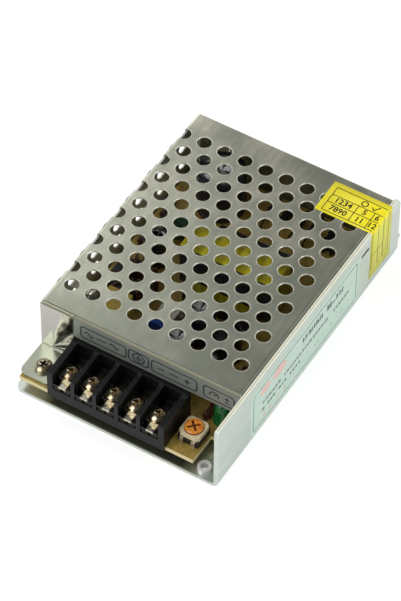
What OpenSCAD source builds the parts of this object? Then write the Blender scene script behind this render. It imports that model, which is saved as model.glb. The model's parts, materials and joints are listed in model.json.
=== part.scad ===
// Enclosed switching power supply: an L-shaped aluminium chassis, a folded
// perforated steel cover, and a circuit board with a five-way screw terminal
// block, a trimmer and an indicator lamp on the open front ledge.
//
// Millimetres, +Z up. The terminals face -Y and the chassis side wall is at +X.
// The origin is the bottom centre of the case.

/* [Case] */
// Width over the cover's side flange and the labelled side wall
case_w = 71; // [70:1:80]
// Length of the chassis
case_l = 114; // [112:1:130]
// Height over the label on the cover
case_h = 26; // [25:1:34]
// Thickness of the aluminium chassis sheet
chassis_t = 1.2; // [1:0.1:1.5]
// Inside radius of the chassis bend
chassis_bend_r = 0.6; // [0.4:0.1:1]
// Thickness of the self-adhesive labels
film_t = 0.1; // [0.05:0.05:0.15]
// Radius of the rating label's corners
label_r = 1.5; // [0.5:0.5:3]
// Radius of the corners of the chassis and of the feet, seen from above
corner_r = 2.5; // [0.5:0.5:3]
// Radius of the side wall's front top corner
wall_front_r = 1; // [0.5:0.5:3]
// Length of the side wall behind the cover
wall_rear_l = 2.5; // [1:0.5:4]
// Radius of the side wall's rear top corner
wall_rear_r = 4; // [1.5:0.5:6]

/* [Cover] */
// Thickness of the steel cover sheet
cover_t = 0.6; // [0.4:0.1:0.8]
// Inside radius of the cover's bends
cover_bend_r = 0.4; // [0.2:0.1:0.6]
// Bare length of chassis in front of the cover
front_ledge = 15.2; // [14.5:0.1:17]
// Bare length of chassis behind the cover
rear_ledge = 8.2; // [7.6:0.2:12]
// Gap between the cover's turned edge and the side wall
cover_gap = 0.3; // [0.2:0.1:0.5]
// Depth of the printed lip over the terminals
lip_h = 9; // [8:0.5:10]
// Width of the two corner plates that carry the feet
corner_w = 11.5; // [11:0.1:12.5]
// Slit between a corner plate and its neighbour
slit = 0.3; // [0.2:0.1:0.6]
// Length of the front foot, from the cover's front face
foot_l = 13; // [11:0.5:13.5]
// Depth of the edge turned down inside the side wall
turned_edge_h = 3; // [2:0.5:3]
// Length of the locking tongue along the side wall
tongue_l = 6.5; // [6:0.5:9]
// Depth of the locking tongue below the top of the cover
tongue_h = 7.2; // [6.5:0.1:9]
// Height of the chassis slot that the tongue's hook enters
slot_h = 1.2; // [1:0.1:2]
// Centre of the locking slot, from the rear of the cover
slot_from_rear = 19.2; // [18:0.2:24]

/* [Perforation] */
// Diameter of the round holes
mesh_d = 4.75; // [3:0.25:5.5]
// Distance between neighbouring hole centres
mesh_pitch = 7.35; // [6.5:0.05:9]
// Distance of the first holes from the outside of the side flange
mesh_first = 1; // [0:0.1:1.5]
// Least distance from a hole centre to the front or rear edge
mesh_end_margin = 9; // [7:0.5:14]
// Least distance from a hole centre to the turned edge
mesh_side_margin = 4.5; // [4:0.5:8]
// Plain band left along the bottom of the side flange
mesh_band = 4; // [3:0.5:10]

/* [Circuit board] */
// Thickness of the board
pcb_t = 1.6; // [1.2:0.2:2]
// Height of the stand-offs under the board
standoff_h = 3; // [2.5:0.5:4]
// Diameter of the stand-offs
standoff_d = 5.5; // [5:0.5:6]
// Distance from the front of the chassis to the board
pcb_front = 1.3; // [1.2:0.1:2]
// Gap between the board and the sides of the case
pcb_gap = 0.5; // [0.4:0.1:0.8]
// Gap between the trimmer and the board's cut-away front corner
pcb_cut_gap = 0.8; // [0.4:0.1:1.2]
// Length of the board's cut-away front corner
pcb_cut_l = 10.5; // [10:0.5:12]
// Thickness of the insulating sheet under the board
insulation_t = 0.25; // [0.2:0.05:0.4]
// Height of the insulating sheet's turned-up edge
insulation_h = 4.5; // [4:0.1:5]

/* [Fasteners] */
// Diameter of the M3 screws
screw_d = 3; // [3:0.5:3]
// Diameter of a cross-recessed pan head
head_d = 5.6; // [5:0.1:6]
// Height of a pan head
head_h = 2; // [1.6:0.1:2.4]
// Radial clearance between a screw and its thread
thread_gap = 0.05; // [0.02:0.01:0.1]
// Core diameter of the tapped mounting collars
tapped_d = 2.5; // [2.4:0.1:2.6]
// Outside diameter of a drawn collar
collar_d = 4.3; // [4:0.1:5]
// Height of a drawn collar above the sheet
collar_h = 1.4; // [1:0.1:2]
// Distance of the mounting collars from the ends of the chassis
mount_inset_y = 3.4; // [3.2:0.1:5]
// Distance of the front mounting collar from the outside of the side wall
mount_inset_x = 6.4; // [6:0.1:8]

/* [Terminal block] */
// Distance between neighbouring terminal screws
terminal_pitch = 7.62; // [7.2:0.01:7.7]
// Thickness of the partitions
partition_t = 1.3; // [1:0.1:1.5]
// Thickness of the block's end walls
end_wall_t = 1.9; // [1.3:0.1:2]
// Overhang of the block in front of the board
block_overhang = 1.1; // [1:0.1:1.2]
// Height of the terminal plates' seat above the board
seat_h = 4.5; // [4:0.1:5]
// Gap between the block and the lip over it
block_lip_gap = 0.7; // [0.4:0.1:1]
// Fall of the partitions' tops towards the front
partition_fall = 0.8; // [0.4:0.1:1.5]
// Thickness of the block's rear wall
rear_wall_t = 1.6; // [1.2:0.1:2]
// Height of the skirt along the block's front, above the board
skirt_h = 3; // [2:0.1:3.5]
// Thickness of the skirt in front of the cells
skirt_t = 1; // [0.8:0.1:1.2]
// Thickness of a terminal plate
plate_t = 0.8; // [0.6:0.1:1]
// Thickness of a clamp washer
washer_t = 1; // [0.8:0.1:1.2]
// Side of a square clamp washer
washer_w = 5.7; // [5:0.1:5.8]
// Length of a terminal screw under its head
terminal_screw_l = 5.2; // [4.5:0.1:5.4]

/* [Trimmer and lamp] */
// Side of the square trimmer
trimmer_w = 7; // [6.5:0.5:7.5]
// Distance from the terminal block to the trimmer
trimmer_gap = 1.6; // [1.4:0.1:2]
// Height of the trimmer's dark base
trimmer_base_h = 2.6; // [2.2:0.1:3]
// Height of the trimmer's pale cap
trimmer_cap_h = 1.6; // [1.2:0.1:2]
// Diameter of the trimmer's rotor
rotor_d = 5.8; // [5:0.1:6]
// Height of the rotor above the cap
rotor_rise = 0.9; // [0.6:0.1:1.2]
// Radial clearance of the rotor's spigot
rotor_gap = 0.05; // [0.02:0.01:0.1]
// Diameter of the indicator lamp
lamp_d = 5; // [3:1:5]
// Height of the lamp's flange above the board
lamp_lift = 2; // [1.5:0.5:3]

/* [Transformer] */
// Width of the transformer core
core_w = 32; // [28:1:33]
// Depth of the transformer core
core_d = 12; // [10:0.5:13]
// Gap between the transformer core and the cover over it
core_gap = 2.2; // [1:0.1:4]
// Thickness of the core's outer legs and backs
core_leg = 4.2; // [4:0.1:4.5]
// Width of the core's centre leg
core_centre = 9.4; // [8:0.1:10]
// Height of the core above the board
core_lift = 1.8; // [1.5:0.1:2.5]
// Wall thickness of the bobbin
bobbin_t = 1; // [0.8:0.1:1.2]
// Build of the winding outside the bobbin
winding_build = 4.2; // [3:0.1:4.5]
// Width of the tape belt round the core
belt_w = 11; // [9:0.5:12]
// Thickness of the tape belt
belt_t = 0.2; // [0.1:0.05:0.3]

/* [Board parts] */
// Diameter of the component leads
lead_d = 0.6; // [0.5:0.1:0.8]
// Radial clearance of a lead in the board
lead_gap = 0.08; // [0.05:0.01:0.15]
// Diameter of the input reservoir capacitor
bulk_d = 16; // [13:0.5:16]
// Gap between the input reservoir capacitor and the cover over it
bulk_gap = 2.5; // [1:0.1:4]
// Diameter of the output capacitors
out_cap_d = 10; // [8:0.5:10]
// Height of the output capacitors
out_cap_h = 12.5; // [11:0.5:16]
// Diameter of the small electrolytic capacitors
small_cap_d = 8; // [5:0.5:8]
// Height of the small electrolytic capacitors
small_cap_h = 11; // [9:0.5:14]
// Outside diameter of the input filter's ring core
ring_d = 14; // [12:0.5:15]
// Hole diameter of the ring core
ring_hole_d = 7.5; // [6:0.5:8]
// Height of the ring core
ring_h = 6; // [5:0.5:8]
// Diameter of the winding wire on the ring core
ring_wire_d = 0.8; // [0.6:0.1:1]
// Turns on each half of the ring core
ring_turns = 7; // [5:1:7]
// Diameter of the fuse
fuse_d = 5; // [4:0.5:5.2]
// Length of the fuse
fuse_l = 20; // [16:1:20]
// Width of the film capacitor across the mains
film_cap_w = 8; // [6:0.5:8.5]
// Length of the film capacitor across the mains
film_cap_l = 17; // [13:0.5:18]
// Height of the film capacitor across the mains
film_cap_h = 12; // [10:0.5:16]
// Diameter of the disc-shaped parts
disc_d = 9; // [7:0.5:10]
// Thickness of the disc-shaped parts
disc_t = 4; // [3:0.5:4.5]
// Diameter of the output choke
choke_d = 9; // [7:0.5:10]
// Height of the output choke
choke_h = 11; // [10:0.5:16]
// Width of a power semiconductor's body
power_w = 10.2; // [9.5:0.1:11]
// Thickness of a power semiconductor's body
power_t = 4.5; // [4:0.1:5]
// Gap between a power semiconductor and the cover's turned edge
power_gap = 0.7; // [0.4:0.1:1.5]
// Height of its metal tab above the body
tab_h = 6.1; // [6:0.1:6.5]
// Thickness of its metal tab
tab_t = 1.3; // [1:0.1:1.5]
// Height of its body above the board
power_lift = 1.5; // [1.3:0.1:1.8]
// Thickness of the heat-conducting pads
pad_t = 0.3; // [0.2:0.1:0.5]

/* [Hidden] */
$fn = 48;
SCREWS = 5;
eps = 0.01;

// Case planes
case_y0 = -case_l / 2;
case_y1 = case_l / 2;
wall_x1 = case_w / 2 - film_t;
wall_x0 = wall_x1 - chassis_t;
top_z = case_h - film_t;
cover_x0 = -case_w / 2;
cover_x1 = wall_x0 - cover_gap;
cover_y0 = case_y0 + front_ledge;
cover_y1 = case_y1 - rear_ledge;
wall_y1 = cover_y1 + wall_rear_l;
cover_r = cover_bend_r + cover_t;
cover_under_z = top_z - cover_t;
plate_x1 = cover_x0 + corner_w;
lip_x0 = plate_x1 + slit;

// Board planes
pcb_z0 = chassis_t + standoff_h;
pcb_z1 = pcb_z0 + pcb_t;
pcb_x0 = cover_x0 + cover_t + pcb_gap;
pcb_x1 = wall_x0 - pcb_gap;
pcb_y0 = case_y0 + pcb_front;
pcb_y1 = cover_y1 - cover_t - pcb_gap - 0.5;

// Places measured from the edges of the board, and from the transformer
function left(d) = pcb_x0 + d;
function right(d) = pcb_x1 - d;
function front(d) = cover_y0 + d;
function rear(d) = pcb_y1 - d;
core_at = [(pcb_x0 + pcb_x1) / 2 + 3.7, (cover_y0 + cover_y1) / 2 + 2.7];

// Fasteners
screw_r = screw_d / 2;
tapped_r = screw_r + thread_gap;
head_r = head_d / 2;
foot_screw_at = [cover_x0 + corner_w / 2, cover_y0 - foot_l / 2 - 1.3];
rear_foot_l = rear_ledge - 0.6;
rear_foot_screw_at = [cover_x0 + corner_w / 2 - 1, cover_y1 + rear_foot_l - head_r - 0.6];
board_screws_at = [[right(3.4), front(11.5)], [left(3.6), rear(3.6)], [right(3.6), rear(3.6)]];
rear_mount_from_foot = 5;
mounts_at = [[wall_x1 - mount_inset_x, case_y0 + mount_inset_y],
             [plate_x1 + rear_mount_from_foot, case_y1 - rear_ledge / 2]];

// Terminal block
block_l = SCREWS * terminal_pitch - partition_t + 2 * end_wall_t;
block_x0 = plate_x1 + slit - 0.05;
block_x1 = block_x0 + block_l;
block_y0 = pcb_y0 - block_overhang;
block_y1 = cover_y0 + 0.3;
block_top_z = top_z - lip_h - block_lip_gap;
cell_w = terminal_pitch - partition_t;
seat_z = pcb_z1 + seat_h;
plate_z = seat_z + plate_t;
washer_gap = 0.04;
terminal_y = block_y0 + 5.5;
terminal_xs = [for (i = [0 : SCREWS - 1]) block_x0 + end_wall_t + cell_w / 2 + i * terminal_pitch];
plate_w = cell_w - 0.3;
plate_y0 = block_y0 + skirt_t - plate_t;
plate_y1 = block_y1 - rear_wall_t - 1.2;
pin_w = 1;

// Trimmer and lamp
trimmer_at = [block_x1 + trimmer_gap + trimmer_w / 2, pcb_y0 + 7.8];
pcb_cut_x = trimmer_at[0] + trimmer_w / 2 + pcb_cut_gap;
trimmer_cap_z = pcb_z1 + trimmer_base_h;
spigot_r = 0.9;
lamp_at = [right(7), front(2.2)];

// Board parts that stand on round or paired leads
core_h = cover_under_z - core_gap - pcb_z1 - core_lift;
bulk_h = cover_under_z - bulk_gap - pcb_z1;
bulk_at = [left(16), rear(12.9)];
bulk_pitch = 7.5;
out_caps_at = [[core_at[0], front(14.6)], [core_at[0], front(27.4)]];
out_cap_pitch = 5;
small_caps_at = [[left(10.6), core_at[1] - 1.6], [core_at[0] + 11.2, front(12.8)]];
small_cap_pitch = 3.5;
choke_at = [core_at[0] + 11, front(25.6)];
choke_pitch = 5;
ring_at = [left(11.5), front(31.5)];
ring_z = pcb_z1 + 0.6 + 2 * ring_wire_d;
fuse_at = [left(3.8), front(15)];
fuse_pitch = fuse_l + 4;
fuse_z = pcb_z1 + fuse_d / 2 + 0.6;
fuse_cap_l = 5;
film_cap_at = [left(13.6), front(13.4)];
film_cap_pitch = film_cap_l - 3;
thermistor_at = [left(11), core_at[1] + 9.6];
safety_cap_at = [core_at[0] - 10.4, front(19.4)];
disc_pitch = 5;
diodes_at = [for (i = [0 : 3]) [core_at[0] - 6.5 + 5 * i, rear(8)]];
diode_pitch = 12.5;
resistor_pitch = 10;
// Each entry is a place and a turn about the vertical
resistors_at = [
    [[right(11), front(20)], 90], [[right(7), front(22)], 90], [[right(12.1), front(4)], 90],
    [[left(3.2), core_at[1] + 4], 90], [[left(3.2), core_at[1] + 17], 90],
    [[core_at[0] - 9.5, front(5.5)], 0], [[right(9), core_at[1] + 5], 90]
];
power_resistor_at = [core_at[0] + 5, core_at[1] + 17];
power_resistor_pitch = 15;
chip_at = [right(11.5), rear(9)];
chip_pitch = 2.54;
chip_row = 7.62;
opto_at = [core_at[0] - 11.4, front(28.6)];
shunt_at = [core_at[0] - 10, front(11)];
transistor_y = core_at[1] + 14;
rectifier_y = front(28);
power_x1 = wall_x0 - pad_t;
power_z0 = pcb_z1 + power_lift;
power_z1 = top_z - turned_edge_h - power_gap;
power_h = power_z1 - power_z0 - tab_h;
power_hole_z = power_z1 - 3.2;
power_pitch = 2.54;
power_lead_x = power_x1 - power_t + 1.3;

// Adhesive films: the rating label on the wall, and the sticker over its top edge
label_y0 = cover_y0 + 3.5;
label_y1 = cover_y1 - slot_from_rear - tongue_l / 2;
label_z0 = 2.6;
label_z1 = top_z - 3.6;
sticker_y0 = cover_y1 - 16;
sticker_y1 = cover_y1 - 3;
sticker_x0 = cover_x1 - 18.5;
sticker_z0 = top_z - 21.4;

// Pairs of points a pitch apart round a centre, turned about the vertical
function pair(at, pitch, turn = 0) = [for (s = [-1, 1])
    [at[0] + s * pitch / 2 * cos(turn), at[1] + s * pitch / 2 * sin(turn)]];
function rows(at, count, pitch, row, turn = 0) = [for (s = [-1, 1], i = [0 : count - 1])
    let (u = (i - (count - 1) / 2) * pitch, v = s * row / 2)
    [at[0] + u * cos(turn) - v * sin(turn), at[1] + u * sin(turn) + v * cos(turn)]];
function flatten(lists) = [for (list = lists, item = list) item];

bulk_leads = pair(bulk_at, bulk_pitch, 90);
out_cap_leads = flatten([for (at = out_caps_at) pair(at, out_cap_pitch)]);
small_cap_leads = flatten([for (at = small_caps_at) pair(at, small_cap_pitch)]);
choke_leads = pair(choke_at, choke_pitch, 90);
ring_leads = rows(ring_at, 2, ring_d * 0.5, ring_d + 2.2);
fuse_leads = pair(fuse_at, fuse_pitch, 90);
film_cap_leads = pair(film_cap_at, film_cap_pitch, 90);
thermistor_leads = pair(thermistor_at, disc_pitch);
safety_cap_leads = pair(safety_cap_at, disc_pitch);
diode_leads = flatten([for (at = diodes_at) pair(at, diode_pitch, 90)]);
resistor_leads = flatten([for (r = resistors_at) pair(r[0], resistor_pitch, r[1])]);
power_resistor_leads = pair(power_resistor_at, power_resistor_pitch);
chip_leads = rows(chip_at, 4, chip_pitch, chip_row);
opto_leads = rows(opto_at, 2, chip_pitch, chip_row, 90);
shunt_leads = [for (i = [-1 : 1]) [shunt_at[0] + 1.6 * i, shunt_at[1]]];
function power_leads(y) = [for (i = [-1 : 1]) [power_lead_x, y + power_pitch * i]];
lamp_leads = pair(lamp_at, 2.2);
trimmer_leads = [for (s = [-1, 1]) [trimmer_at[0] + s * 2, trimmer_at[1] - trimmer_w / 2 - 0.35]];
bobbin_row = core_d + 2 * bobbin_t + 2 * winding_build - 2;
bobbin_pitch = 5;
bobbin_leads = rows(core_at, 5, bobbin_pitch, bobbin_row);
board_leads = flatten([
    bulk_leads, out_cap_leads, small_cap_leads, choke_leads, ring_leads, fuse_leads,
    film_cap_leads, thermistor_leads, safety_cap_leads, diode_leads, resistor_leads,
    power_resistor_leads, chip_leads, opto_leads, shunt_leads, power_leads(transistor_y),
    power_leads(rectifier_y), lamp_leads, trimmer_leads, bobbin_leads
]);
lead_tail = 1;

// A quarter of a bent sheet's section in the first quadrant, centred on the origin
module bend_section(r_in, t) {
    intersection() {
        difference() {
            circle(r_in + t);
            circle(r_in);
        }
        square(r_in + t + eps);
    }
}

module box(p0, p1) {
    translate(p0) cube(p1 - p0);
}

// Extrudes a section drawn in X and Z along Y, from y0 to y1
module along_y(y0, y1) {
    translate([0, y1, 0]) rotate([90, 0, 0]) linear_extrude(y1 - y0) children();
}

// Extrudes a section drawn in Y and Z along X, from x0 to x1
module along_x(x0, x1) {
    translate([x0, 0, 0]) rotate([90, 0, 90]) linear_extrude(x1 - x0) children();
}

module pan_screw(length) {
    dome_r = (head_r * head_r + head_h * head_h) / (2 * head_h) + 1.2;
    difference() {
        intersection() {
            cylinder(h = head_h, r = head_r);
            translate([0, 0, head_h - dome_r]) sphere(dome_r);
        }
        for (turn = [0, 90])
            rotate([0, 0, turn]) cross_slot();
    }
    translate([0, 0, -length]) cylinder(h = length, r = screw_r);
}

// One wing of a cross recess: wide at the mouth, narrow at the bottom
module cross_slot() {
    slot_w = head_d * 0.15;
    slot_l = head_d * 0.29;
    slot_d = head_h * 0.65;
    translate([0, slot_w / 2, head_h + eps]) rotate([90, 0, 0])
        linear_extrude(slot_w)
            polygon([[-slot_l, 0], [-slot_l * 0.45, -slot_d], [slot_l * 0.45, -slot_d], [slot_l, 0]]);
}

// Straight leads from the given height down through the board
module leads(points, top_z) {
    for (p = points)
        translate([p[0], p[1], pcb_z0 - lead_tail])
            cylinder(h = top_z - pcb_z0 + lead_tail, d = lead_d, $fn = 24);
}

// A part lying along its lead pair, with both leads bent down
module axial_part(at, turn, pitch, lift) {
    z = pcb_z1 + lift;
    leads(pair(at, pitch, turn), z);
    translate([at[0], at[1], z]) rotate([0, 0, turn]) {
        translate([-pitch / 2, 0, 0]) rotate([0, 90, 0]) cylinder(h = pitch, d = lead_d, $fn = 24);
        for (s = [-1, 1])
            translate([s * pitch / 2, 0, 0]) sphere(d = lead_d, $fn = 24);
        children();
    }
}

// A standing electrolytic capacitor: sleeve with a rolled shoulder and a crimp groove
module electrolytic(at, d, h) {
    shoulder = d * 0.06;
    groove = d * 0.05;
    translate([at[0], at[1], pcb_z1]) rotate_extrude()
        difference() {
            union() {
                square([d / 2 - shoulder, h]);
                translate([0, shoulder]) square([d / 2, h - 2 * shoulder]);
                for (z = [shoulder, h - shoulder])
                    translate([d / 2 - shoulder, z]) circle(shoulder, $fn = 24);
            }
            translate([d / 2 + groove * 0.4, h * 0.14]) circle(groove, $fn = 24);
            translate([-eps, h - shoulder * 0.5]) square([d / 2 - 2 * shoulder, shoulder]);
            translate([-d, -eps]) square([d, h + 1]);
        }
}

// What a rounded corner takes away, in the first quadrant, centred on the round
module corner_waste(r) {
    difference() {
        square(r + 1);
        circle(r);
    }
}

module chassis() {
    outer_r = chassis_bend_r + chassis_t;
    slot_y = cover_y1 - slot_from_rear;
    color("silver") difference() {
        union() {
            along_y(case_y0, case_y1) {
                translate([cover_x0, 0]) square([wall_x1 - outer_r - cover_x0, chassis_t]);
                translate([wall_x1 - outer_r, outer_r]) rotate(-90)
                    bend_section(chassis_bend_r, chassis_t);
                translate([wall_x0, outer_r]) square([chassis_t, top_z - outer_r]);
            }
            for (at = mounts_at)
                translate([at[0], at[1], 0]) cylinder(h = chassis_t + collar_h, d = collar_d);
        }
        // The wall ends just behind the cover, and the base goes on as a rear ledge
        box([wall_x1 - outer_r - 0.5, wall_y1, -1], [wall_x1 + 1, case_y1 + 1, top_z + 1]);
        // Rounded free corners of the base and of the side wall
        for (s = [-1, 1])
            translate([cover_x0 + corner_r, s * (case_y1 - corner_r), -1])
                mirror([0, s < 0 ? 1 : 0, 0]) mirror([1, 0, 0])
                    linear_extrude(chassis_t + 2) corner_waste(corner_r);
        translate([0, case_y0 + wall_front_r, top_z - wall_front_r]) mirror([0, 1, 0])
            along_x(wall_x0 - 1, wall_x1 + 1) corner_waste(wall_front_r);
        translate([0, wall_y1 - wall_rear_r, top_z - wall_rear_r])
            along_x(wall_x0 - 1, wall_x1 + 1) corner_waste(wall_rear_r);
        for (at = mounts_at)
            translate([at[0], at[1], -1]) cylinder(h = chassis_t + collar_h + 2, d = tapped_d);
        for (at = concat([foot_screw_at], board_screws_at))
            translate([at[0], at[1], -1]) cylinder(h = chassis_t + 2, d = standoff_d - 1.2);
        translate([rear_foot_screw_at[0], rear_foot_screw_at[1], -1])
            cylinder(h = chassis_t + 2, r = tapped_r);
        for (y = [transistor_y, rectifier_y])
            translate([wall_x0 - 1, y, power_hole_z]) rotate([0, 90, 0])
                cylinder(h = chassis_t + 2, r = tapped_r);
        box([wall_x0 - 1, slot_y - tongue_l / 2 + 1, top_z - tongue_h + 1],
            [wall_x1 + 1, slot_y + tongue_l / 2 - 1, top_z - tongue_h + 1 + slot_h]);
    }
}

// Holes through the top and the side flange. Odd rows start beside the fold, so
// their first hole is cut partly in the top and partly in the flange.
module perforation() {
    row_pitch = mesh_pitch * sin(60);
    cover_l = cover_y1 - cover_y0;
    row_count = floor((cover_l - 2 * mesh_end_margin) / row_pitch) + 1;
    row_y1 = (cover_y0 + cover_y1) / 2 + (row_count - 1) * row_pitch / 2;
    flange_h = top_z - chassis_t;
    for (row = [0 : row_count - 1]) {
        first = row % 2 == 0 ? 0 : mesh_pitch / 2;
        y = row_y1 - row * row_pitch;
        for (u = [mesh_first + first : mesh_pitch : cover_x1 - cover_x0 - mesh_side_margin])
            translate([cover_x0 + u, y, cover_under_z - 1]) cylinder(h = cover_t + 2, d = mesh_d);
        for (u = [first - mesh_first : mesh_pitch : flange_h - mesh_band - mesh_d / 2])
            translate([cover_x0 - 1, y, top_z - u]) rotate([0, 90, 0])
                cylinder(h = cover_t + 2, d = mesh_d);
    }
}

// A sheet folded down from the top's front edge to the given height, drawn in Y and Z
// with the fold centred on the origin
module folded_edge(drop) {
    rotate(90) bend_section(cover_bend_r, cover_t);
    translate([-cover_r, -drop]) square([cover_t, drop + eps]);
}

// Front or rear end of the cover, built at the front
module cover_end(foot_z, foot_l, lip_drop, screw_at) {
    drop = top_z - cover_r - foot_z - cover_r;
    translate([0, cover_y0 + cover_r, top_z - cover_r]) {
        along_x(lip_x0, cover_x1) folded_edge(lip_drop);
        along_x(cover_x0 + cover_r, plate_x1) folded_edge(drop);
        along_x(cover_x0, cover_x0 + cover_r + eps) translate([-cover_r, -drop])
            square([cover_t, drop]);
    }
    difference() {
        along_x(cover_x0, plate_x1) translate([cover_y0 - cover_bend_r, foot_z + cover_r]) {
            rotate(-90) bend_section(cover_bend_r, cover_t);
            translate([cover_bend_r - foot_l, -cover_r])
                square([foot_l - cover_bend_r + eps, cover_t]);
        }
        translate([screw_at[0], screw_at[1], foot_z - 1])
            cylinder(h = cover_t + 2, r = screw_r + 0.2);
        for (s = [0, 1])
            translate([s ? plate_x1 - corner_r : cover_x0 + corner_r,
                       cover_y0 - foot_l + corner_r, foot_z - 1])
                mirror([0, 1, 0]) mirror([s ? 0 : 1, 0, 0])
                    linear_extrude(cover_t + 2) corner_waste(corner_r);
    }
}

module cover() {
    flange_z0 = chassis_t + 0.1;
    hook_z = top_z - tongue_h + 1.1;
    slot_y = cover_y1 - slot_from_rear;
    color("lightgray") {
        difference() {
            along_y(cover_y0 + cover_r, cover_y1 - cover_r) {
                translate([cover_x0 + cover_r, top_z - cover_r]) rotate(90)
                    bend_section(cover_bend_r, cover_t);
                translate([cover_x0, flange_z0])
                    square([cover_t, top_z - cover_r - flange_z0 + eps]);
                translate([cover_x0 + cover_r - eps, cover_under_z])
                    square([cover_x1 - cover_x0 - 2 * cover_r + 2 * eps, cover_t]);
                translate([cover_x1 - cover_r, top_z - cover_r])
                    bend_section(cover_bend_r, cover_t);
                translate([cover_x1 - cover_t, top_z - turned_edge_h])
                    square([cover_t, turned_edge_h - cover_r + eps]);
            }
            perforation();
        }
        cover_end(pcb_z1, foot_l, lip_h - cover_r, foot_screw_at);
        mirror([0, 1, 0]) translate([0, -cover_y0 - cover_y1, 0])
            cover_end(chassis_t, rear_foot_l, top_z - cover_r - flange_z0,
                      [rear_foot_screw_at[0], cover_y0 + cover_y1 - rear_foot_screw_at[1]]);
        box([cover_x1 - cover_t, slot_y - tongue_l / 2, top_z - tongue_h],
            [cover_x1, slot_y + tongue_l / 2, top_z - turned_edge_h + eps]);
        box([cover_x1 - eps, slot_y - tongue_l / 2 + 1.3, hook_z],
            [wall_x1 - 0.4, slot_y + tongue_l / 2 - 1.3, hook_z + slot_h - 0.2]);
    }
}

module insulating_sheet() {
    sheet_y0 = cover_y0 + 1;
    x1 = wall_x0 - 0.05;
    z1 = chassis_t + insulation_h;
    outer_r = chassis_bend_r + 0.05;
    color("whitesmoke") difference() {
        along_y(sheet_y0, pcb_y1) {
            translate([pcb_x0, chassis_t])
                square([x1 - outer_r - insulation_t - pcb_x0 + eps, insulation_t]);
            translate([x1 - outer_r - insulation_t, chassis_t + outer_r + insulation_t]) rotate(-90)
                bend_section(outer_r, insulation_t);
            translate([x1 - insulation_t, chassis_t + outer_r + insulation_t - eps])
                square([insulation_t, z1 - chassis_t - outer_r - insulation_t]);
        }
        for (at = board_screws_at)
            translate([at[0], at[1], 0]) cylinder(h = standoff_h, d = standoff_d + 0.6);
    }
}

module circuit_board() {
    color("tan") difference() {
        translate([0, 0, pcb_z0]) linear_extrude(pcb_t) difference() {
            translate([pcb_x0, pcb_y0]) square([pcb_x1 - pcb_x0, pcb_y1 - pcb_y0]);
            translate([pcb_cut_x, pcb_y0 - 1]) square([case_w, pcb_cut_l + 1]);
            for (at = concat([foot_screw_at], board_screws_at))
                translate(at) circle(screw_r + 0.15);
            for (at = board_leads)
                translate(at) circle(lead_d / 2 + lead_gap, $fn = 24);
            for (x = terminal_xs)
                translate([x, plate_y1 - plate_t / 2]) circle(pin_w / 2 + 0.25, $fn = 24);
        }
    }
}

module board_standoffs() {
    color("gainsboro")
        for (at = concat([foot_screw_at], board_screws_at))
            translate([at[0], at[1], 0]) difference() {
                union() {
                    cylinder(h = chassis_t, d = standoff_d - 1.3);
                    translate([0, 0, chassis_t]) cylinder(h = standoff_h, d = standoff_d);
                }
                translate([0, 0, -1]) cylinder(h = pcb_z0 + 2, r = tapped_r);
            }
}

module board_screws() {
    color("silver")
        for (at = board_screws_at)
            translate([at[0], at[1], pcb_z1]) pan_screw(pcb_t + standoff_h - 0.6);
}

module cover_screws() {
    color("silver") {
        translate([foot_screw_at[0], foot_screw_at[1], pcb_z1 + cover_t])
            pan_screw(cover_t + pcb_t + standoff_h - 0.6);
        translate([rear_foot_screw_at[0], rear_foot_screw_at[1], chassis_t + cover_t])
            pan_screw(cover_t + chassis_t - 0.2);
    }
}

// One partition's outline, drawn in Y and Z: a chamfered front edge and a top that
// slopes up to the rear wall
module partition_outline() {
    front_z = block_top_z - partition_fall;
    rear_z = block_top_z;
    polygon([
        [block_y0, pcb_z1 - 0.8], [block_y0, front_z - 0.6], [block_y0 + 0.6, front_z],
        [block_y1 - rear_wall_t - 1, rear_z - 0.4], [block_y1 - rear_wall_t, rear_z],
        [block_y1, rear_z], [block_y1, pcb_z1], [pcb_y0 - 0.15, pcb_z1],
        [pcb_y0 - 0.15, pcb_z1 - 0.8]
    ]);
}

module terminal_block() {
    rear_z = block_top_z;
    color("#26282a") difference() {
        union() {
            for (i = [0 : SCREWS]) {
                t = i == 0 || i == SCREWS ? end_wall_t : partition_t;
                x0 = i == 0 ? block_x0 : block_x0 + end_wall_t - partition_t + i * terminal_pitch;
                along_x(x0, x0 + t) partition_outline();
            }
            // Body under the seats, with the skirt along its front
            along_x(block_x0 + eps, block_x1 - eps) polygon([
                [block_y0, pcb_z1 - 0.8], [block_y0, pcb_z1 + skirt_h],
                [block_y0 + skirt_t, pcb_z1 + skirt_h], [block_y0 + skirt_t, seat_z],
                [block_y1 - rear_wall_t, seat_z], [block_y1 - rear_wall_t, rear_z],
                [block_y1, rear_z], [block_y1, pcb_z1], [pcb_y0 - 0.15, pcb_z1],
                [pcb_y0 - 0.15, pcb_z1 - 0.8]
            ]);
        }
        for (x = terminal_xs) {
            translate([x, terminal_y, pcb_z1 + 0.4]) cylinder(h = seat_h, r = screw_r + 0.9);
            box([x - pin_w / 2 - 0.1, plate_y1 - plate_t - 0.1, pcb_z1 - 1],
                [x + pin_w / 2 + 0.1, plate_y1 + 0.1, seat_z + 1]);
        }
    }
}

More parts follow.
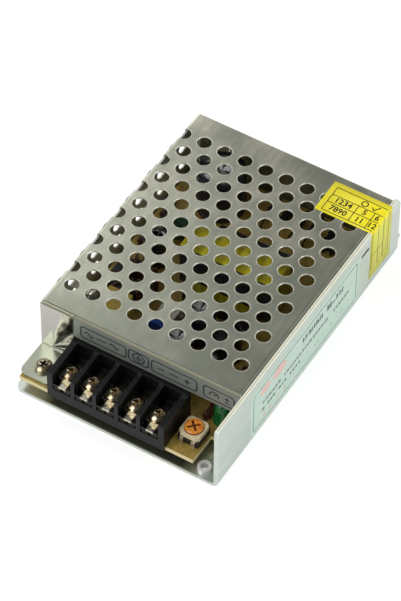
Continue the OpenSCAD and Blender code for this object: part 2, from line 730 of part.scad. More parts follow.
// A terminal strip: a flat seat with a tapped collar under it, two short legs folded
// down over the front of the block, and a solder pin folded down at the rear
module terminal_plate() {
    difference() {
        union() {
            box([-plate_w / 2, plate_y0, seat_z], [plate_w / 2, plate_y1, plate_z]);
            for (s = [-1, 1])
                box([s * plate_w / 4 - 1, plate_y0, pcb_z1 + skirt_h + 0.1],
                    [s * plate_w / 4 + 1, plate_y0 + plate_t - 0.05, seat_z + eps]);
            box([-pin_w / 2, plate_y1 - plate_t, pcb_z0 - lead_tail],
                [pin_w / 2, plate_y1, seat_z + eps]);
            translate([0, terminal_y, seat_z - 1]) cylinder(h = 1 + eps, r = screw_r + 0.7);
        }
        translate([0, terminal_y, seat_z - 2]) cylinder(h = 4, r = tapped_r);
    }
}

module terminal_plates() {
    color("goldenrod")
        for (x = terminal_xs)
            translate([x, 0, 0]) terminal_plate();
}

module clamp_washer(i) {
    r = 0.6;
    w = washer_w / 2;
    color("gainsboro") translate([terminal_xs[i - 1], terminal_y, plate_z + washer_gap])
        linear_extrude(washer_t) difference() {
            square(washer_w, center = true);
            for (turn = [0 : 90 : 270])
                rotate(turn) translate([w - r, w - r]) corner_waste(r);
            circle(screw_r + 0.08);
        }
}

module terminal_screw(i) {
    color("silver")
        translate([terminal_xs[i - 1], terminal_y, plate_z + washer_t + 2 * washer_gap])
            pan_screw(terminal_screw_l);
}

module trimmer_base() {
    w = trimmer_w / 2;
    color("#1c1c1e") translate([trimmer_at[0], trimmer_at[1], pcb_z1]) difference() {
        translate([-w, -w, 0]) cube([trimmer_w, trimmer_w, trimmer_base_h]);
        translate([0, 0, 0.8]) cylinder(h = trimmer_base_h, r = spigot_r + rotor_gap);
    }
}

module trimmer_cap() {
    w = trimmer_w / 2;
    chamfer = 0.9;
    color("antiquewhite") translate([trimmer_at[0], trimmer_at[1], trimmer_cap_z])
        difference() {
            linear_extrude(trimmer_cap_h) polygon([
                [-w + chamfer, -w], [w - chamfer, -w], [w, -w + chamfer], [w, w - chamfer],
                [w - chamfer, w], [-w + chamfer, w], [-w, w - chamfer], [-w, -w + chamfer]
            ]);
            translate([0, 0, -1]) cylinder(h = trimmer_cap_h + 2, d = rotor_d + 4 * rotor_gap);
        }
}

module trimmer_legs() {
    z1 = trimmer_cap_z - 0.2;
    y1 = trimmer_at[1] - trimmer_w / 2;
    color("gainsboro") {
        leads(trimmer_leads, pcb_z1 + 0.5);
        for (at = trimmer_leads)
            box([at[0] - 0.6, y1 - 0.7, pcb_z1], [at[0] + 0.6, y1, z1]);
    }
}

module trimmer_rotor() {
    disc_h = trimmer_cap_h + rotor_rise - 0.05;
    color("orange") translate([trimmer_at[0], trimmer_at[1], trimmer_cap_z + 0.05]) {
        difference() {
            union() {
                cylinder(h = disc_h - 0.3, d = rotor_d);
                translate([0, 0, disc_h - 0.3 - eps])
                    cylinder(h = 0.3, d1 = rotor_d, d2 = rotor_d - 0.8);
            }
            for (turn = [45, 135])
                rotate([0, 0, turn]) translate([-rotor_d * 0.36, -0.4, disc_h - 0.8])
                    cube([rotor_d * 0.72, 0.8, 1]);
        }
        translate([0, 0, 0.9 - trimmer_base_h]) cylinder(h = trimmer_base_h - 0.8, r = spigot_r);
    }
}

module indicator_lamp() {
    z = pcb_z1 + lamp_lift;
    r = lamp_d / 2;
    color("limegreen") {
        leads(lamp_leads, z + 0.5);
        translate([lamp_at[0], lamp_at[1], z]) {
            cylinder(h = 1, r = r + 0.4);
            cylinder(h = lamp_d * 1.1, r = r);
            translate([0, 0, lamp_d * 1.1]) sphere(r);
        }
    }
}

// Two E-shaped halves that meet at mid height, with square legs
module transformer_core() {
    window_h = core_h - 2 * core_leg;
    window_w = (core_w - core_centre) / 2 - core_leg;
    z0 = pcb_z1 + core_lift;
    color("#2a2a2c") translate([core_at[0], 0, z0])
        along_y(core_at[1] - core_d / 2, core_at[1] + core_d / 2)
            difference() {
                translate([-core_w / 2, 0]) square([core_w, core_h]);
                for (s = [-1, 1])
                    translate([s * (core_centre + window_w) / 2 - window_w / 2, core_leg])
                        square([window_w, window_h]);
            }
}

// Square tube with two flanges, and a pin rail along each side
module transformer_bobbin() {
    gap = 0.15;
    tube_x = core_centre / 2 + gap;
    tube_y = core_d / 2 + gap;
    flange_x = core_w / 2 - core_leg - gap;
    flange_y = tube_y + bobbin_t + winding_build + 0.3;
    z0 = pcb_z1 + core_lift + core_leg + gap;
    z1 = pcb_z1 + core_lift + core_h - core_leg - gap;
    color("#1e1e20") {
        translate([core_at[0], core_at[1], 0]) difference() {
            union() {
                for (z = [z0, z1 - bobbin_t])
                    translate([-flange_x, -flange_y, z]) cube([2 * flange_x, 2 * flange_y, bobbin_t]);
                translate([-tube_x - bobbin_t, -tube_y - bobbin_t, z0])
                    cube([2 * (tube_x + bobbin_t), 2 * (tube_y + bobbin_t), z1 - z0]);
                for (s = [-1, 1])
                    translate([-flange_x, s > 0 ? tube_y : -flange_y, pcb_z1])
                        cube([2 * flange_x, flange_y - tube_y, z0 - pcb_z1 + eps]);
            }
            translate([-tube_x, -tube_y, pcb_z1 - 1]) cube([2 * tube_x, 2 * tube_y, core_h + 9]);
        }
        leads(bobbin_leads, pcb_z1 + 1);
    }
}

module transformer_winding() {
    gap = 0.15;
    inner_x = core_centre / 2 + gap + bobbin_t;
    inner_y = core_d / 2 + gap + bobbin_t;
    outer_x = core_w / 2 - core_leg - 2 * gap;
    outer_y = inner_y + winding_build;
    z0 = pcb_z1 + core_lift + core_leg + gap + bobbin_t;
    z1 = pcb_z1 + core_lift + core_h - core_leg - gap - bobbin_t;
    round_r = 2;
    color("gold") translate([core_at[0], core_at[1], z0]) linear_extrude(z1 - z0) difference() {
        translate([-outer_x, -outer_y]) square([2 * outer_x, 2 * outer_y]);
        for (sx = [0, 1], sy = [0, 1])
            mirror([sx, 0]) mirror([0, sy]) translate([outer_x - round_r, outer_y - round_r])
                corner_waste(round_r);
        translate([-inner_x, -inner_y]) square([2 * inner_x, 2 * inner_y]);
    }
}

module transformer_belt() {
    z0 = pcb_z1 + core_lift;
    color("gold") translate([core_at[0], 0, z0])
        along_y(core_at[1] - belt_w / 2, core_at[1] + belt_w / 2) difference() {
            translate([-core_w / 2 - belt_t, -belt_t])
                square([core_w + 2 * belt_t, core_h + 2 * belt_t]);
            translate([-core_w / 2, 0]) square([core_w, core_h]);
        }
}

module bulk_capacitor() {
    color("#1f2326") {
        electrolytic(bulk_at, bulk_d, bulk_h);
        leads(bulk_leads, pcb_z1 + eps);
    }
}

module output_capacitors() {
    color("#1f2326")
        for (at = out_caps_at) {
            electrolytic(at, out_cap_d, out_cap_h);
            leads(pair(at, out_cap_pitch), pcb_z1 + eps);
        }
}

module small_capacitors() {
    color("#3a3d42")
        for (at = small_caps_at) {
            electrolytic(at, small_cap_d, small_cap_h);
            leads(pair(at, small_cap_pitch), pcb_z1 + eps);
        }
}

module filter_ring() {
    mid_r = (ring_d + ring_hole_d) / 4;
    round_r = 0.8;
    color("darkgreen") translate([ring_at[0], ring_at[1], ring_z]) rotate_extrude()
        difference() {
            translate([ring_hole_d / 2, 0]) square([ring_d / 2 - ring_hole_d / 2, ring_h]);
            for (sx = [0, 1], sz = [0, 1])
                translate([mid_r, ring_h / 2]) mirror([sx, 0]) mirror([0, sz])
                    translate([ring_d / 2 - mid_r - round_r, ring_h / 2 - round_r])
                        corner_waste(round_r);
        }
}

// Single turns of wire round the ring, two groups side by side, with their leads
module filter_windings() {
    gap = 0.05;
    w = ring_wire_d;
    span = 130;
    color("chocolate") {
        for (side = [90, 270], i = [0 : ring_turns - 1])
            translate([ring_at[0], ring_at[1], ring_z])
                rotate([0, 0, side - span / 2 + span * i / (ring_turns - 1)])
                    translate([0, w / 2, 0]) rotate([90, 0, 0]) linear_extrude(w) difference() {
                        translate([ring_hole_d / 2 - gap - w, -gap - w])
                            square([ring_d / 2 - ring_hole_d / 2 + 2 * (gap + w),
                                    ring_h + 2 * (gap + w)]);
                        translate([ring_hole_d / 2 - gap, -gap])
                            square([ring_d / 2 - ring_hole_d / 2 + 2 * gap, ring_h + 2 * gap]);
                    }
        leads(ring_leads, ring_z + 0.2);
    }
}

module fuse_tube() {
    color("honeydew") translate([fuse_at[0], fuse_at[1] + fuse_l / 2 - 0.5, fuse_z])
        rotate([90, 0, 0]) difference() {
            cylinder(h = fuse_l - 1, d = fuse_d - 0.6);
            translate([0, 0, -1]) cylinder(h = fuse_l + 2, d = fuse_d - 2);
        }
}

module fuse_caps() {
    color("silver")
        for (s = [-1, 1]) {
            translate([fuse_at[0], fuse_at[1], fuse_z]) rotate([s * 90, 0, 0])
                translate([0, 0, fuse_l / 2 - fuse_cap_l]) {
                    difference() {
                        cylinder(h = fuse_cap_l, d = fuse_d);
                        translate([0, 0, -1]) cylinder(h = fuse_cap_l + 0.5, d = fuse_d - 0.5);
                    }
                    translate([0, 0, fuse_cap_l - eps])
                        cylinder(h = (fuse_pitch - fuse_l) / 2 + eps, d = lead_d, $fn = 24);
                }
            translate([fuse_at[0], fuse_at[1] - s * fuse_pitch / 2, fuse_z])
                sphere(d = lead_d, $fn = 24);
        }
    color("silver") leads(fuse_leads, fuse_z);
}

// A disc on edge with two straight leads
module disc_part(at, points) {
    translate([at[0], at[1] + disc_t / 2, pcb_z1 + disc_d / 2 + 1.4]) rotate([90, 0, 0])
        cylinder(h = disc_t, d = disc_d);
    leads(points, pcb_z1 + disc_d / 2 - 1);
}

module thermistor() {
    color("#26503a") disc_part(thermistor_at, thermistor_leads);
}

module safety_capacitor() {
    color("royalblue") disc_part(safety_cap_at, safety_cap_leads);
}

module mains_film_capacitor() {
    color("#c7a83a") {
        box([film_cap_at[0] - film_cap_w / 2, film_cap_at[1] - film_cap_l / 2, pcb_z1],
            [film_cap_at[0] + film_cap_w / 2, film_cap_at[1] + film_cap_l / 2,
             pcb_z1 + film_cap_h]);
        leads(film_cap_leads, pcb_z1 + eps);
    }
}

module output_choke() {
    color("#2b2b2d") {
        translate([choke_at[0], choke_at[1], pcb_z1]) rotate_extrude() difference() {
            square([choke_d / 2, choke_h]);
            translate([-eps, choke_h - 0.8]) square([choke_d / 2 - 0.7, 1]);
        }
        leads(choke_leads, pcb_z1 + eps);
    }
}

module rectifier_diodes() {
    color("#1b1b1d")
        for (at = diodes_at)
            axial_part(at, 90, diode_pitch, 1.6)
                translate([-2.6, 0, 0]) rotate([0, 90, 0]) cylinder(h = 5.2, d = 2.7);
}

// A dog-bone resistor body along X
module resistor_body(l, d) {
    translate([-l / 2, 0, 0]) rotate([0, 90, 0]) rotate_extrude() difference() {
        square([d / 2, l]);
        translate([d / 2, l * 0.22]) square([1, l * 0.56]);
        for (z = [0, l])
            translate([d / 2 - 0.3, z]) mirror([0, z > 0 ? 1 : 0]) mirror([0, 1])
                translate([0, -0.3]) corner_waste(0.3);
        translate([d * 0.42, l * 0.3]) square([1, l * 0.4]);
    }
}

module resistors() {
    color("burlywood")
        for (r = resistors_at)
            axial_part(r[0], r[1], resistor_pitch, 1.3) resistor_body(6.2, 2.4);
}

module power_resistor() {
    color("#7d8fa6")
        axial_part(power_resistor_at, 0, power_resistor_pitch, 3) resistor_body(11, 4.2);
}

// A plug-in chip: moulded body with an end notch, and legs that step down to the board
module chip(at, count, turn, points) {
    l = count * chip_pitch - 0.3;
    w = 6.3;
    z0 = pcb_z1 + 0.5;
    translate([at[0], at[1], z0]) rotate([0, 0, turn]) {
        difference() {
            translate([-l / 2, -w / 2, 0]) cube([l, w, 3.3]);
            translate([-l / 2, 0, 2.6]) cylinder(h = 1, r = 0.8);
        }
        for (i = [0 : count - 1])
            translate([(i - (count - 1) / 2) * chip_pitch - 0.6, -chip_row / 2 - 0.15, 1.4])
                cube([1.2, chip_row + 0.3, 0.3]);
    }
    leads(points, z0 + 1.5);
}

module controller_chip() {
    color("#202022") chip(chip_at, 4, 0, chip_leads);
}

module optocoupler() {
    color("#e8e6dc") chip(opto_at, 2, 90, opto_leads);
}

// A half-round plastic body with a flat front
module shunt_regulator() {
    color("#202022") {
        translate([shunt_at[0], shunt_at[1], pcb_z1 + 3]) intersection() {
            cylinder(h = 4.8, d = 4.8);
            translate([-3, -1.2, 0]) cube([6, 4, 5]);
        }
        leads(shunt_leads, pcb_z1 + 3.2);
    }
}

// A power semiconductor: moulded body, metal tab with a hole, three legs with shoulders
module power_device(y) {
    hole_r = screw_r + 0.2;
    difference() {
        union() {
            box([power_x1 - power_t, y - power_w / 2, power_z0],
                [power_x1, y + power_w / 2, power_z0 + power_h]);
            box([power_x1 - tab_t, y - power_w / 2, power_z0],
                [power_x1, y + power_w / 2, power_z1]);
        }
        translate([power_x1 - tab_t - 1, y, power_hole_z]) rotate([0, 90, 0])
            cylinder(h = tab_t + 2, r = hole_r);
        for (s = [-1, 1])
            translate([power_x1 - tab_t - 1, y + s * power_w / 2, power_z0 + power_h + 1.4])
                rotate([0, 90, 0]) cylinder(h = tab_t + 2, r = 0.8, $fn = 24);
    }
    for (i = [-1 : 1])
        box([power_lead_x - lead_d / 2, y + i * power_pitch - 0.6, pcb_z1 + 0.4],
            [power_lead_x + lead_d / 2, y + i * power_pitch + 0.6, power_z0 + eps]);
    leads(power_leads(y), pcb_z1 + 0.5);
}

module power_transistor() {
    color("#2d2d30") power_device(transistor_y);
}

module output_rectifier() {
    color("#2d2d30") power_device(rectifier_y);
}

module heat_pads() {
    margin = 0.8;
    color("lightsteelblue")
        for (y = [transistor_y, rectifier_y])
            difference() {
                box([power_x1, y - power_w / 2 - margin, power_z0 - margin],
                    [wall_x0, y + power_w / 2 + margin, power_z1 + margin / 2]);
                translate([power_x1 - 1, y, power_hole_z]) rotate([0, 90, 0])
                    cylinder(h = pad_t + 2, r = screw_r + 0.2);
            }
}

module power_screws() {
    color("silver")
        for (y = [transistor_y, rectifier_y])
            translate([power_x1 - tab_t, y, power_hole_z]) rotate([0, -90, 0])
                pan_screw(tab_t + pad_t + chassis_t - 0.1);
}

module rating_label() {
    color("honeydew") translate([wall_x1, 0, 0])
        along_x(0, film_t) difference() {
            translate([label_y0, label_z0]) square([label_y1 - label_y0, label_z1 - label_z0]);
            for (sy = [0, 1], sz = [0, 1])
                translate([(label_y0 + label_y1) / 2, (label_z0 + label_z1) / 2])
                    mirror([sy, 0]) mirror([0, sz])
                        translate([(label_y1 - label_y0) / 2 - label_r,
                                   (label_z1 - label_z0) / 2 - label_r])
                            corner_waste(label_r);
        }
}

module inspection_sticker() {
    color("yellow") along_y(sticker_y0, sticker_y1) {
        translate([sticker_x0, top_z]) square([wall_x1 - sticker_x0, film_t]);
        translate([wall_x1, sticker_z0]) square([film_t, case_h - sticker_z0]);
    }
}

chassis();
cover();
insulating_sheet();
circuit_board();
board_standoffs();
board_screws();
cover_screws();
terminal_block();
terminal_plates();
clamp_washer(1);  // clamp_washer_1
clamp_washer(2);  // clamp_washer_2
clamp_washer(3);  // clamp_washer_3
clamp_washer(4);  // clamp_washer_4
clamp_washer(5);  // clamp_washer_5
terminal_screw(1);  // terminal_screw_1
terminal_screw(2);  // terminal_screw_2
terminal_screw(3);  // terminal_screw_3
terminal_screw(4);  // terminal_screw_4
terminal_screw(5);  // terminal_screw_5
trimmer_base();
trimmer_cap();
trimmer_legs();
trimmer_rotor();
indicator_lamp();
transformer_core();
transformer_bobbin();
transformer_winding();
transformer_belt();
bulk_capacitor();
output_capacitors();
small_capacitors();
filter_ring();
filter_windings();
fuse_tube();
fuse_caps();
thermistor();
mains_film_capacitor();
safety_capacitor();
output_choke();
rectifier_diodes();
resistors();
power_resistor();
controller_chip();
optocoupler();
shunt_regulator();
power_transistor();
output_rectifier();
heat_pads();
power_screws();
rating_label();
inspection_sticker();
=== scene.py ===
import json
import math
import bpy
import numpy as np
from mathutils import Matrix, Vector


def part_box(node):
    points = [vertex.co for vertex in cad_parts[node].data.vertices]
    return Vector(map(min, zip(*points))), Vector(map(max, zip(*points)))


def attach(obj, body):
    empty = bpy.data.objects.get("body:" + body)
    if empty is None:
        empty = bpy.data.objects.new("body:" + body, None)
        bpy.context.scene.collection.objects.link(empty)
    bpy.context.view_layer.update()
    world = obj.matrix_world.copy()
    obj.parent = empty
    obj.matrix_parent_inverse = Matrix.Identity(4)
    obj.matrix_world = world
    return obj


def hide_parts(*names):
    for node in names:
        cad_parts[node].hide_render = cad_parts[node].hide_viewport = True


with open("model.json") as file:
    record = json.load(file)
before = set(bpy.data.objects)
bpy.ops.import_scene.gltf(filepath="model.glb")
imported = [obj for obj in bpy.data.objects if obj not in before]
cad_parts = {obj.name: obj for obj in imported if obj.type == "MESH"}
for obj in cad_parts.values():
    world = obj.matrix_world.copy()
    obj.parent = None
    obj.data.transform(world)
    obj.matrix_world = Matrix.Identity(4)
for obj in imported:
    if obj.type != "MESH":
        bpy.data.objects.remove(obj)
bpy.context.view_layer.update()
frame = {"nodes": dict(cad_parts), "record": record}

scene = bpy.context.scene
scene.view_settings.view_transform = "Standard"


# ---------------------------------------------------------------- camera, lamps and floor
# A small product on a white table, seen from above its front right corner through a
# long lens. A high grey ceiling shows in the flat metal, and white walls and table in
# the upright faces.
EYE = Vector((0.33958, -0.57603, 0.79707))
AIM = Vector((-0.00053, -0.00741, 0.013))
EYE_RIGHT = Vector((0.85417, 0.51996, 0.00657))


def linear(red, green, blue):
    """The light values of a colour in steps of 0 to 255: ((step + 0.055) / 1.055)^2.4."""
    step = np.array([red, green, blue]) / 255
    light = np.where(step <= 0.04045, step / 12.92, ((step + 0.055) / 1.055) ** 2.4)
    return (*light.tolist(), 1.0)


def add(tree, kind, inputs=None, **settings):
    """A new node. inputs maps a socket's name or number to a value or to another socket."""
    made = tree.nodes.new("ShaderNode" + kind)
    for key, value in settings.items():
        setattr(made, key, value)
    for key, value in (inputs or {}).items():
        if isinstance(value, bpy.types.NodeSocket):
            tree.links.new(value, made.inputs[key])
        else:
            made.inputs[key].default_value = value
    return made


def sums(tree, kind, first, second=0.0, third=0.0):
    """One step of arithmetic on values or sockets."""
    return add(tree, "Math", {0: first, 1: second, 2: third}, operation=kind).outputs[0]


forward = (AIM - EYE).normalized()
right = (EYE_RIGHT - forward * EYE_RIGHT.dot(forward)).normalized()
camera_data = bpy.data.cameras.new("studio_camera")
camera_data.lens = 203.6
camera_data.sensor_width = 36
camera_data.clip_start = 0.01
camera = bpy.data.objects.new("studio_camera", camera_data)
camera.matrix_world = Matrix.Translation(EYE) @ Matrix(
    (right, right.cross(forward), -forward)).transposed().to_4x4()
scene.collection.objects.link(camera)
scene.camera = camera

world = bpy.data.worlds.new("studio")
scene.world = world
world.use_nodes = True

# The camera sees white. A mirror sees a ceiling that darkens upwards, from 0.92 to 0.10.
# The rest is lit at 0.55.
sky = world.node_tree
ray = add(sky, "LightPath")
direction = add(sky, "TexCoord")
height = add(sky, "SeparateXYZ", {0: direction.outputs["Generated"]})
ceiling = add(sky, "MapRange", {"Value": height.outputs["Z"], "From Min": 0.18, "From Max": 0.66,
                                "To Min": 0.92, "To Max": 0.10})
mirrored = add(sky, "Mix", {0: ray.outputs["Is Glossy Ray"], 2: 0.55, 3: ceiling.outputs[0]},
               data_type="FLOAT")
seen = sums(sky, "MAXIMUM", ray.outputs["Is Camera Ray"], ray.outputs["Is Transmission Ray"])
strength = add(sky, "Mix", {0: seen, 2: mirrored.outputs[0], 3: 1.0}, data_type="FLOAT")
sky.links.new(strength.outputs[0], sky.nodes["Background"].inputs["Strength"])
sky.nodes["Background"].inputs["Color"].default_value = (1, 1, 1, 1)


def soft_lamp(name, place, size, energy):
    """A square lamp aimed at the middle of the object."""
    data = bpy.data.lights.new(name, "AREA")
    data.shape = "SQUARE"
    data.size = size
    data.energy = energy
    lamp = bpy.data.objects.new(name, data)
    lamp.matrix_world = Matrix.Translation(place) @ (
        Vector((0, 0, 0.015)) - Vector(place)).to_track_quat("-Z", "Y").to_matrix().to_4x4()
    lamp.visible_camera = False
    scene.collection.objects.link(lamp)


soft_lamp("key_lamp", (-0.35, -0.55, 0.75), 0.5, 2.6)
soft_lamp("side_lamp", (0.9, 0.05, 0.45), 0.5, 3.6)
soft_lamp("near_card", (-0.27, 0.17, 0.25), 0.24, 0.27)

reach = np.array([-1.0, 1.0]) * 3.0
floor_mesh = bpy.data.meshes.new("table_top")
floor_mesh.from_pydata([(x, y, 0.0) for y in reach for x in reach], [], [(0, 1, 3, 2)])
floor = bpy.data.objects.new("table_top", floor_mesh)
scene.collection.objects.link(floor)
table = bpy.data.materials.new("white_table")
table.use_nodes = True
board = table.node_tree
board.nodes.remove(board.nodes["Principled BSDF"])
board_ray = add(board, "LightPath")
glow = sums(board, "MULTIPLY", board_ray.outputs["Is Camera Ray"], 0.40)
shade = add(board, "BsdfDiffuse", {"Color": (0.86, 0.86, 0.86, 1)})
shine = add(board, "Emission", {"Strength": glow})
both = add(board, "AddShader", {0: shade.outputs[0], 1: shine.outputs[0]})
board.links.new(both.outputs[0], board.nodes["Material Output"].inputs["Surface"])
floor.data.materials.append(table)


# ---------------------------------------------------------------- chassis
# An L of 1.2 mm mill-finish aluminium sheet, folded once: the base and the right side
# wall. Rolling leaves fine streaks along its length, and the sheared edges are bright. Its
# sharp edges carry a painted highlight.
def new_finish(name, **sockets):
    """A material, its node tree and its shader, with constants set on the shader."""
    made = bpy.data.materials.new(name)
    made.use_nodes = True
    shader = made.node_tree.nodes["Principled BSDF"]
    for key, value in sockets.items():
        shader.inputs[key.replace("_", " ")].default_value = value
    return made, made.node_tree, shader


def feed(shader, **sockets):
    """Links a socket into each of the shader's inputs that is named."""
    for key, value in sockets.items():
        shader.id_data.links.new(value, shader.inputs[key.replace("_", " ")])


def position(tree):
    """The object coordinates of the point that is shaded: X, Y and Z sockets."""
    return add(tree, "SeparateXYZ", {0: add(tree, "TexCoord").outputs["Object"]}).outputs


def ramp(tree, value, start, end):
    """0 up to start, 1 from end on, and (value - start) / (end - start) between."""
    return add(tree, "MapRange", {"Value": value, "From Min": start, "From Max": end}).outputs[0]


def all_of(tree, *masks):
    """1 where every mask is 1: their product."""
    product = masks[0]
    for mask in masks[1:]:
        product = sums(tree, "MULTIPLY", product, mask)
    return product


def mottle(tree, scale, detail=3.0, stretch=(1, 1, 1), low=0.35, high=0.65):
    """Cloudy variation from 0 to 1 in object coordinates; scale is in clouds a metre."""
    place = add(tree, "TexCoord").outputs["Object"]
    turned = add(tree, "Mapping", {"Vector": place, "Scale": stretch})
    cloud = add(tree, "TexNoise", {"Vector": turned.outputs[0], "Scale": scale, "Detail": detail})
    return ramp(tree, cloud.outputs["Fac"], low, high)


def between(tree, share, first, second):
    """The mix of two colours, each a value or a socket."""
    return add(tree, "Mix", {0: share, 6: first, 7: second}, data_type="RGBA").outputs[2]


def spread(tree, share, low, high):
    """A share from 0 to 1 spread over low to high."""
    return add(tree, "MapRange", {"Value": share, "To Min": low, "To Max": high}).outputs[0]


def edges(tree, radius, reach=0.25):
    """0 on flats and 1 on sharp edges: (1 - rounded normal . flat normal) / reach."""
    round_normal = add(tree, "Bevel", {"Radius": radius}, samples=6)
    flat_normal = add(tree, "NewGeometry")
    lean = add(tree, "VectorMath", {0: round_normal.outputs[0], 1: flat_normal.outputs["Normal"]},
               operation="DOT_PRODUCT")
    return ramp(tree, lean.outputs["Value"], 1.0, 1.0 - reach)


def relief(tree, shader, share, depth):
    """Bumps of a share from 0 to 1, depth metres high."""
    bump = add(tree, "Bump", {"Height": share, "Distance": depth, "Strength": 1.0})
    feed(shader, Normal=bump.outputs[0])


def dress(node, finish):
    """Puts a finish on a solid of the frame."""
    solid = frame["nodes"][node]
    if solid.material_slots:
        for part in solid.material_slots:
            part.material = finish
    else:
        solid.data.materials.append(finish)


chassis_low, chassis_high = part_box("chassis")
mill_sheet, tree, shader = new_finish("mill_sheet")
rolled = mottle(tree, 260, 5, (1, 0.12, 1))
grain = mottle(tree, 1500, 2)
at_x, at_y, at_z = position(tree)
body = between(tree, rolled, linear(230, 240, 231), linear(221, 231, 223))

# The front ledge under the terminal block is painted darker, a painted shade, except along its
# front edge.
painted_shade_under_block = all_of(tree, ramp(tree, at_y, chassis_low.y + 0.0002, chassis_low.y + 0.0006),
              ramp(tree, sums(tree, "ABSOLUTE", at_x), 0.0262, 0.0225),
              sums(tree, "LESS_THAN", at_z, 0.0015),
              ramp(tree, at_y, chassis_low.y + 0.012, chassis_low.y + 0.008))
body = between(tree, painted_shade_under_block, body, linear(112, 124, 122))

# The wall's sheared top is cream, with a grey line of burr; its inner corner is painted dark, a
# painted shade.
sheared = sums(tree, "GREATER_THAN", at_z, chassis_high.z - 0.0002)
across_edge = sums(tree, "SUBTRACT", chassis_high.x, at_x)
burr = sums(tree, "COMPARE", across_edge, 0.00052, 0.00012)
shaded_inner_edge = sums(tree, "GREATER_THAN", across_edge, 0.00104)
shear_colour = between(tree, burr, linear(246, 246, 224), linear(176, 176, 156))
shear_colour = between(tree, shaded_inner_edge, shear_colour, linear(40, 40, 34))
body = between(tree, sheared, body, shear_colour)

# The collars drawn up round the threaded holes, above the sheet, scatter the light.
above_sheet = sums(tree, "GREATER_THAN", at_z, 0.0013)
bare = sheared
for mount in frame["record"]["mounts"]:
    if mount["kind"] == "threaded_hole":
        collar = add(tree, "VectorMath", {0: add(tree, "TexCoord").outputs["Object"],
                                          1: mount["pos_m"]}, operation="DISTANCE")
        around = ramp(tree, collar.outputs["Value"], 0.0034, 0.0028)
        drawn = all_of(tree, around, above_sheet)
        body = between(tree, drawn, body, linear(226, 224, 226))
        bare = sums(tree, "MAXIMUM", drawn, bare)
# The sharp edges get a painted highlight.
feed(shader, Base_Color=between(tree, edges(tree, 0.0004, 0.15), body, linear(255, 254, 236)),
     Metallic=spread(tree, bare, 0.88, 0.1), Roughness=spread(tree, rolled, 0.285, 0.315))
relief(tree, shader, grain, 0.0000006)
dress("chassis", mill_sheet)


# ---------------------------------------------------------------- cover
# One sheet of bright tinned steel, folded down on all sides and punched with rows of
# round holes, each with a bright rolled rim. Its two feet are screwed down. The front
# corner flap has soft creases from the bending.
FOOT_LENGTH = 0.013
REAR_REACH = 0.0076
FLAP_WIDTH = 0.0117
FLAP_BOTTOM = 0.0067
FOLD_BAND = 0.0012

cover_low, cover_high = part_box("cover")
fold_front = cover_low.y + FOOT_LENGTH
fold_rear = cover_high.y - REAR_REACH
top = cover_high.z
slit_x = cover_low.x + FLAP_WIDTH

cover_finish, tree, shader = new_finish("tinned_cover")
clouds = mottle(tree, 90, 4)
rolled = mottle(tree, 700, 4, (1, 0.15, 1))
grain = mottle(tree, 3600, 2)
at_x, at_y, at_z = position(tree)

# Each mask is 1 on one face: the corner flap, the lip with the marks, and the fold above.
in_front = sums(tree, "LESS_THAN", at_y, fold_front + 0.0008)
below_fold = sums(tree, "LESS_THAN", at_z, top - FOLD_BAND)
flap = all_of(tree, in_front, sums(tree, "GREATER_THAN", at_z, FLAP_BOTTOM),
              sums(tree, "LESS_THAN", at_x, slit_x), below_fold)
lip = all_of(tree, in_front, sums(tree, "GREATER_THAN", at_x, slit_x))
fold = all_of(tree, in_front, sums(tree, "GREATER_THAN", at_z, top - 0.0011))

# The flap's creases fan out from a point low on it: sin(16 * (angle^0.6 + 0.09 * cloud)).
pivot_x = slit_x - 0.0078
pivot_z = 0.0072
beside = sums(tree, "SUBTRACT", at_x, pivot_x)
above = sums(tree, "MAXIMUM", sums(tree, "SUBTRACT", at_z, pivot_z))
angle = sums(tree, "ARCTAN2", above, sums(tree, "MAXIMUM", beside, 0.0001))
bent = sums(tree, "MULTIPLY_ADD", mottle(tree, 150, 0, (1, 1, 1), 0.2, 0.8), 0.09,
            sums(tree, "POWER", angle, 0.6))
fan = sums(tree, "SINE", sums(tree, "MULTIPLY", bent, 16.0))
right_of_pivot = ramp(tree, beside, 0.0, 0.0020)
creased = all_of(tree, right_of_pivot, flap, fan)
groove = ramp(tree, creased, -0.1, -0.6)

# The top is painted paler and warmer towards the rear and in broad clouds, a painted reflection.
painted_reflection_share = sums(tree, "MULTIPLY_ADD", mottle(tree, 55, 2, (1, 1, 1), 0.3, 0.7), 0.45,
             sums(tree, "MULTIPLY", ramp(tree, at_y, fold_front, fold_rear), 0.55))
painted_reflection_colour = between(tree, painted_reflection_share, linear(164, 174, 156), linear(246, 240, 222))
body = between(tree, spread(tree, clouds, 0, 0.8), painted_reflection_colour, linear(174, 178, 160))
body = between(tree, spread(tree, rolled, 0, 0.35), body, linear(162, 167, 150))
# The lip and the fold above it are painted darker, painted shade, and the flap paler, a painted
# highlight, all on one sheet.
body = between(tree, lip, body, linear(152, 158, 150))
body = between(tree, fold, body, linear(142, 142, 122))
body = between(tree, flap, body, linear(214, 212, 204))
# The grooves of the flap's creases are painted dark, a painted reflection.
body = between(tree, groove, body, linear(50, 50, 46))

# The left side's inner face is painted pale, a painted highlight. The edge turned down by
# the wall is painted dark, a painted shadow.
painted_light_inner_face = all_of(tree, sums(tree, "GREATER_THAN", at_x, cover_low.x + 0.0003),
                sums(tree, "LESS_THAN", at_x, cover_low.x + 0.0012), below_fold,
                sums(tree, "GREATER_THAN", at_y, fold_front + 0.0008))
body = between(tree, painted_light_inner_face, body, linear(206, 210, 202))
turned_edge_shadow = sums(tree, "GREATER_THAN", at_x, cover_high.x - 0.0002)
body = between(tree, turned_edge_shadow, body, linear(26, 27, 24))

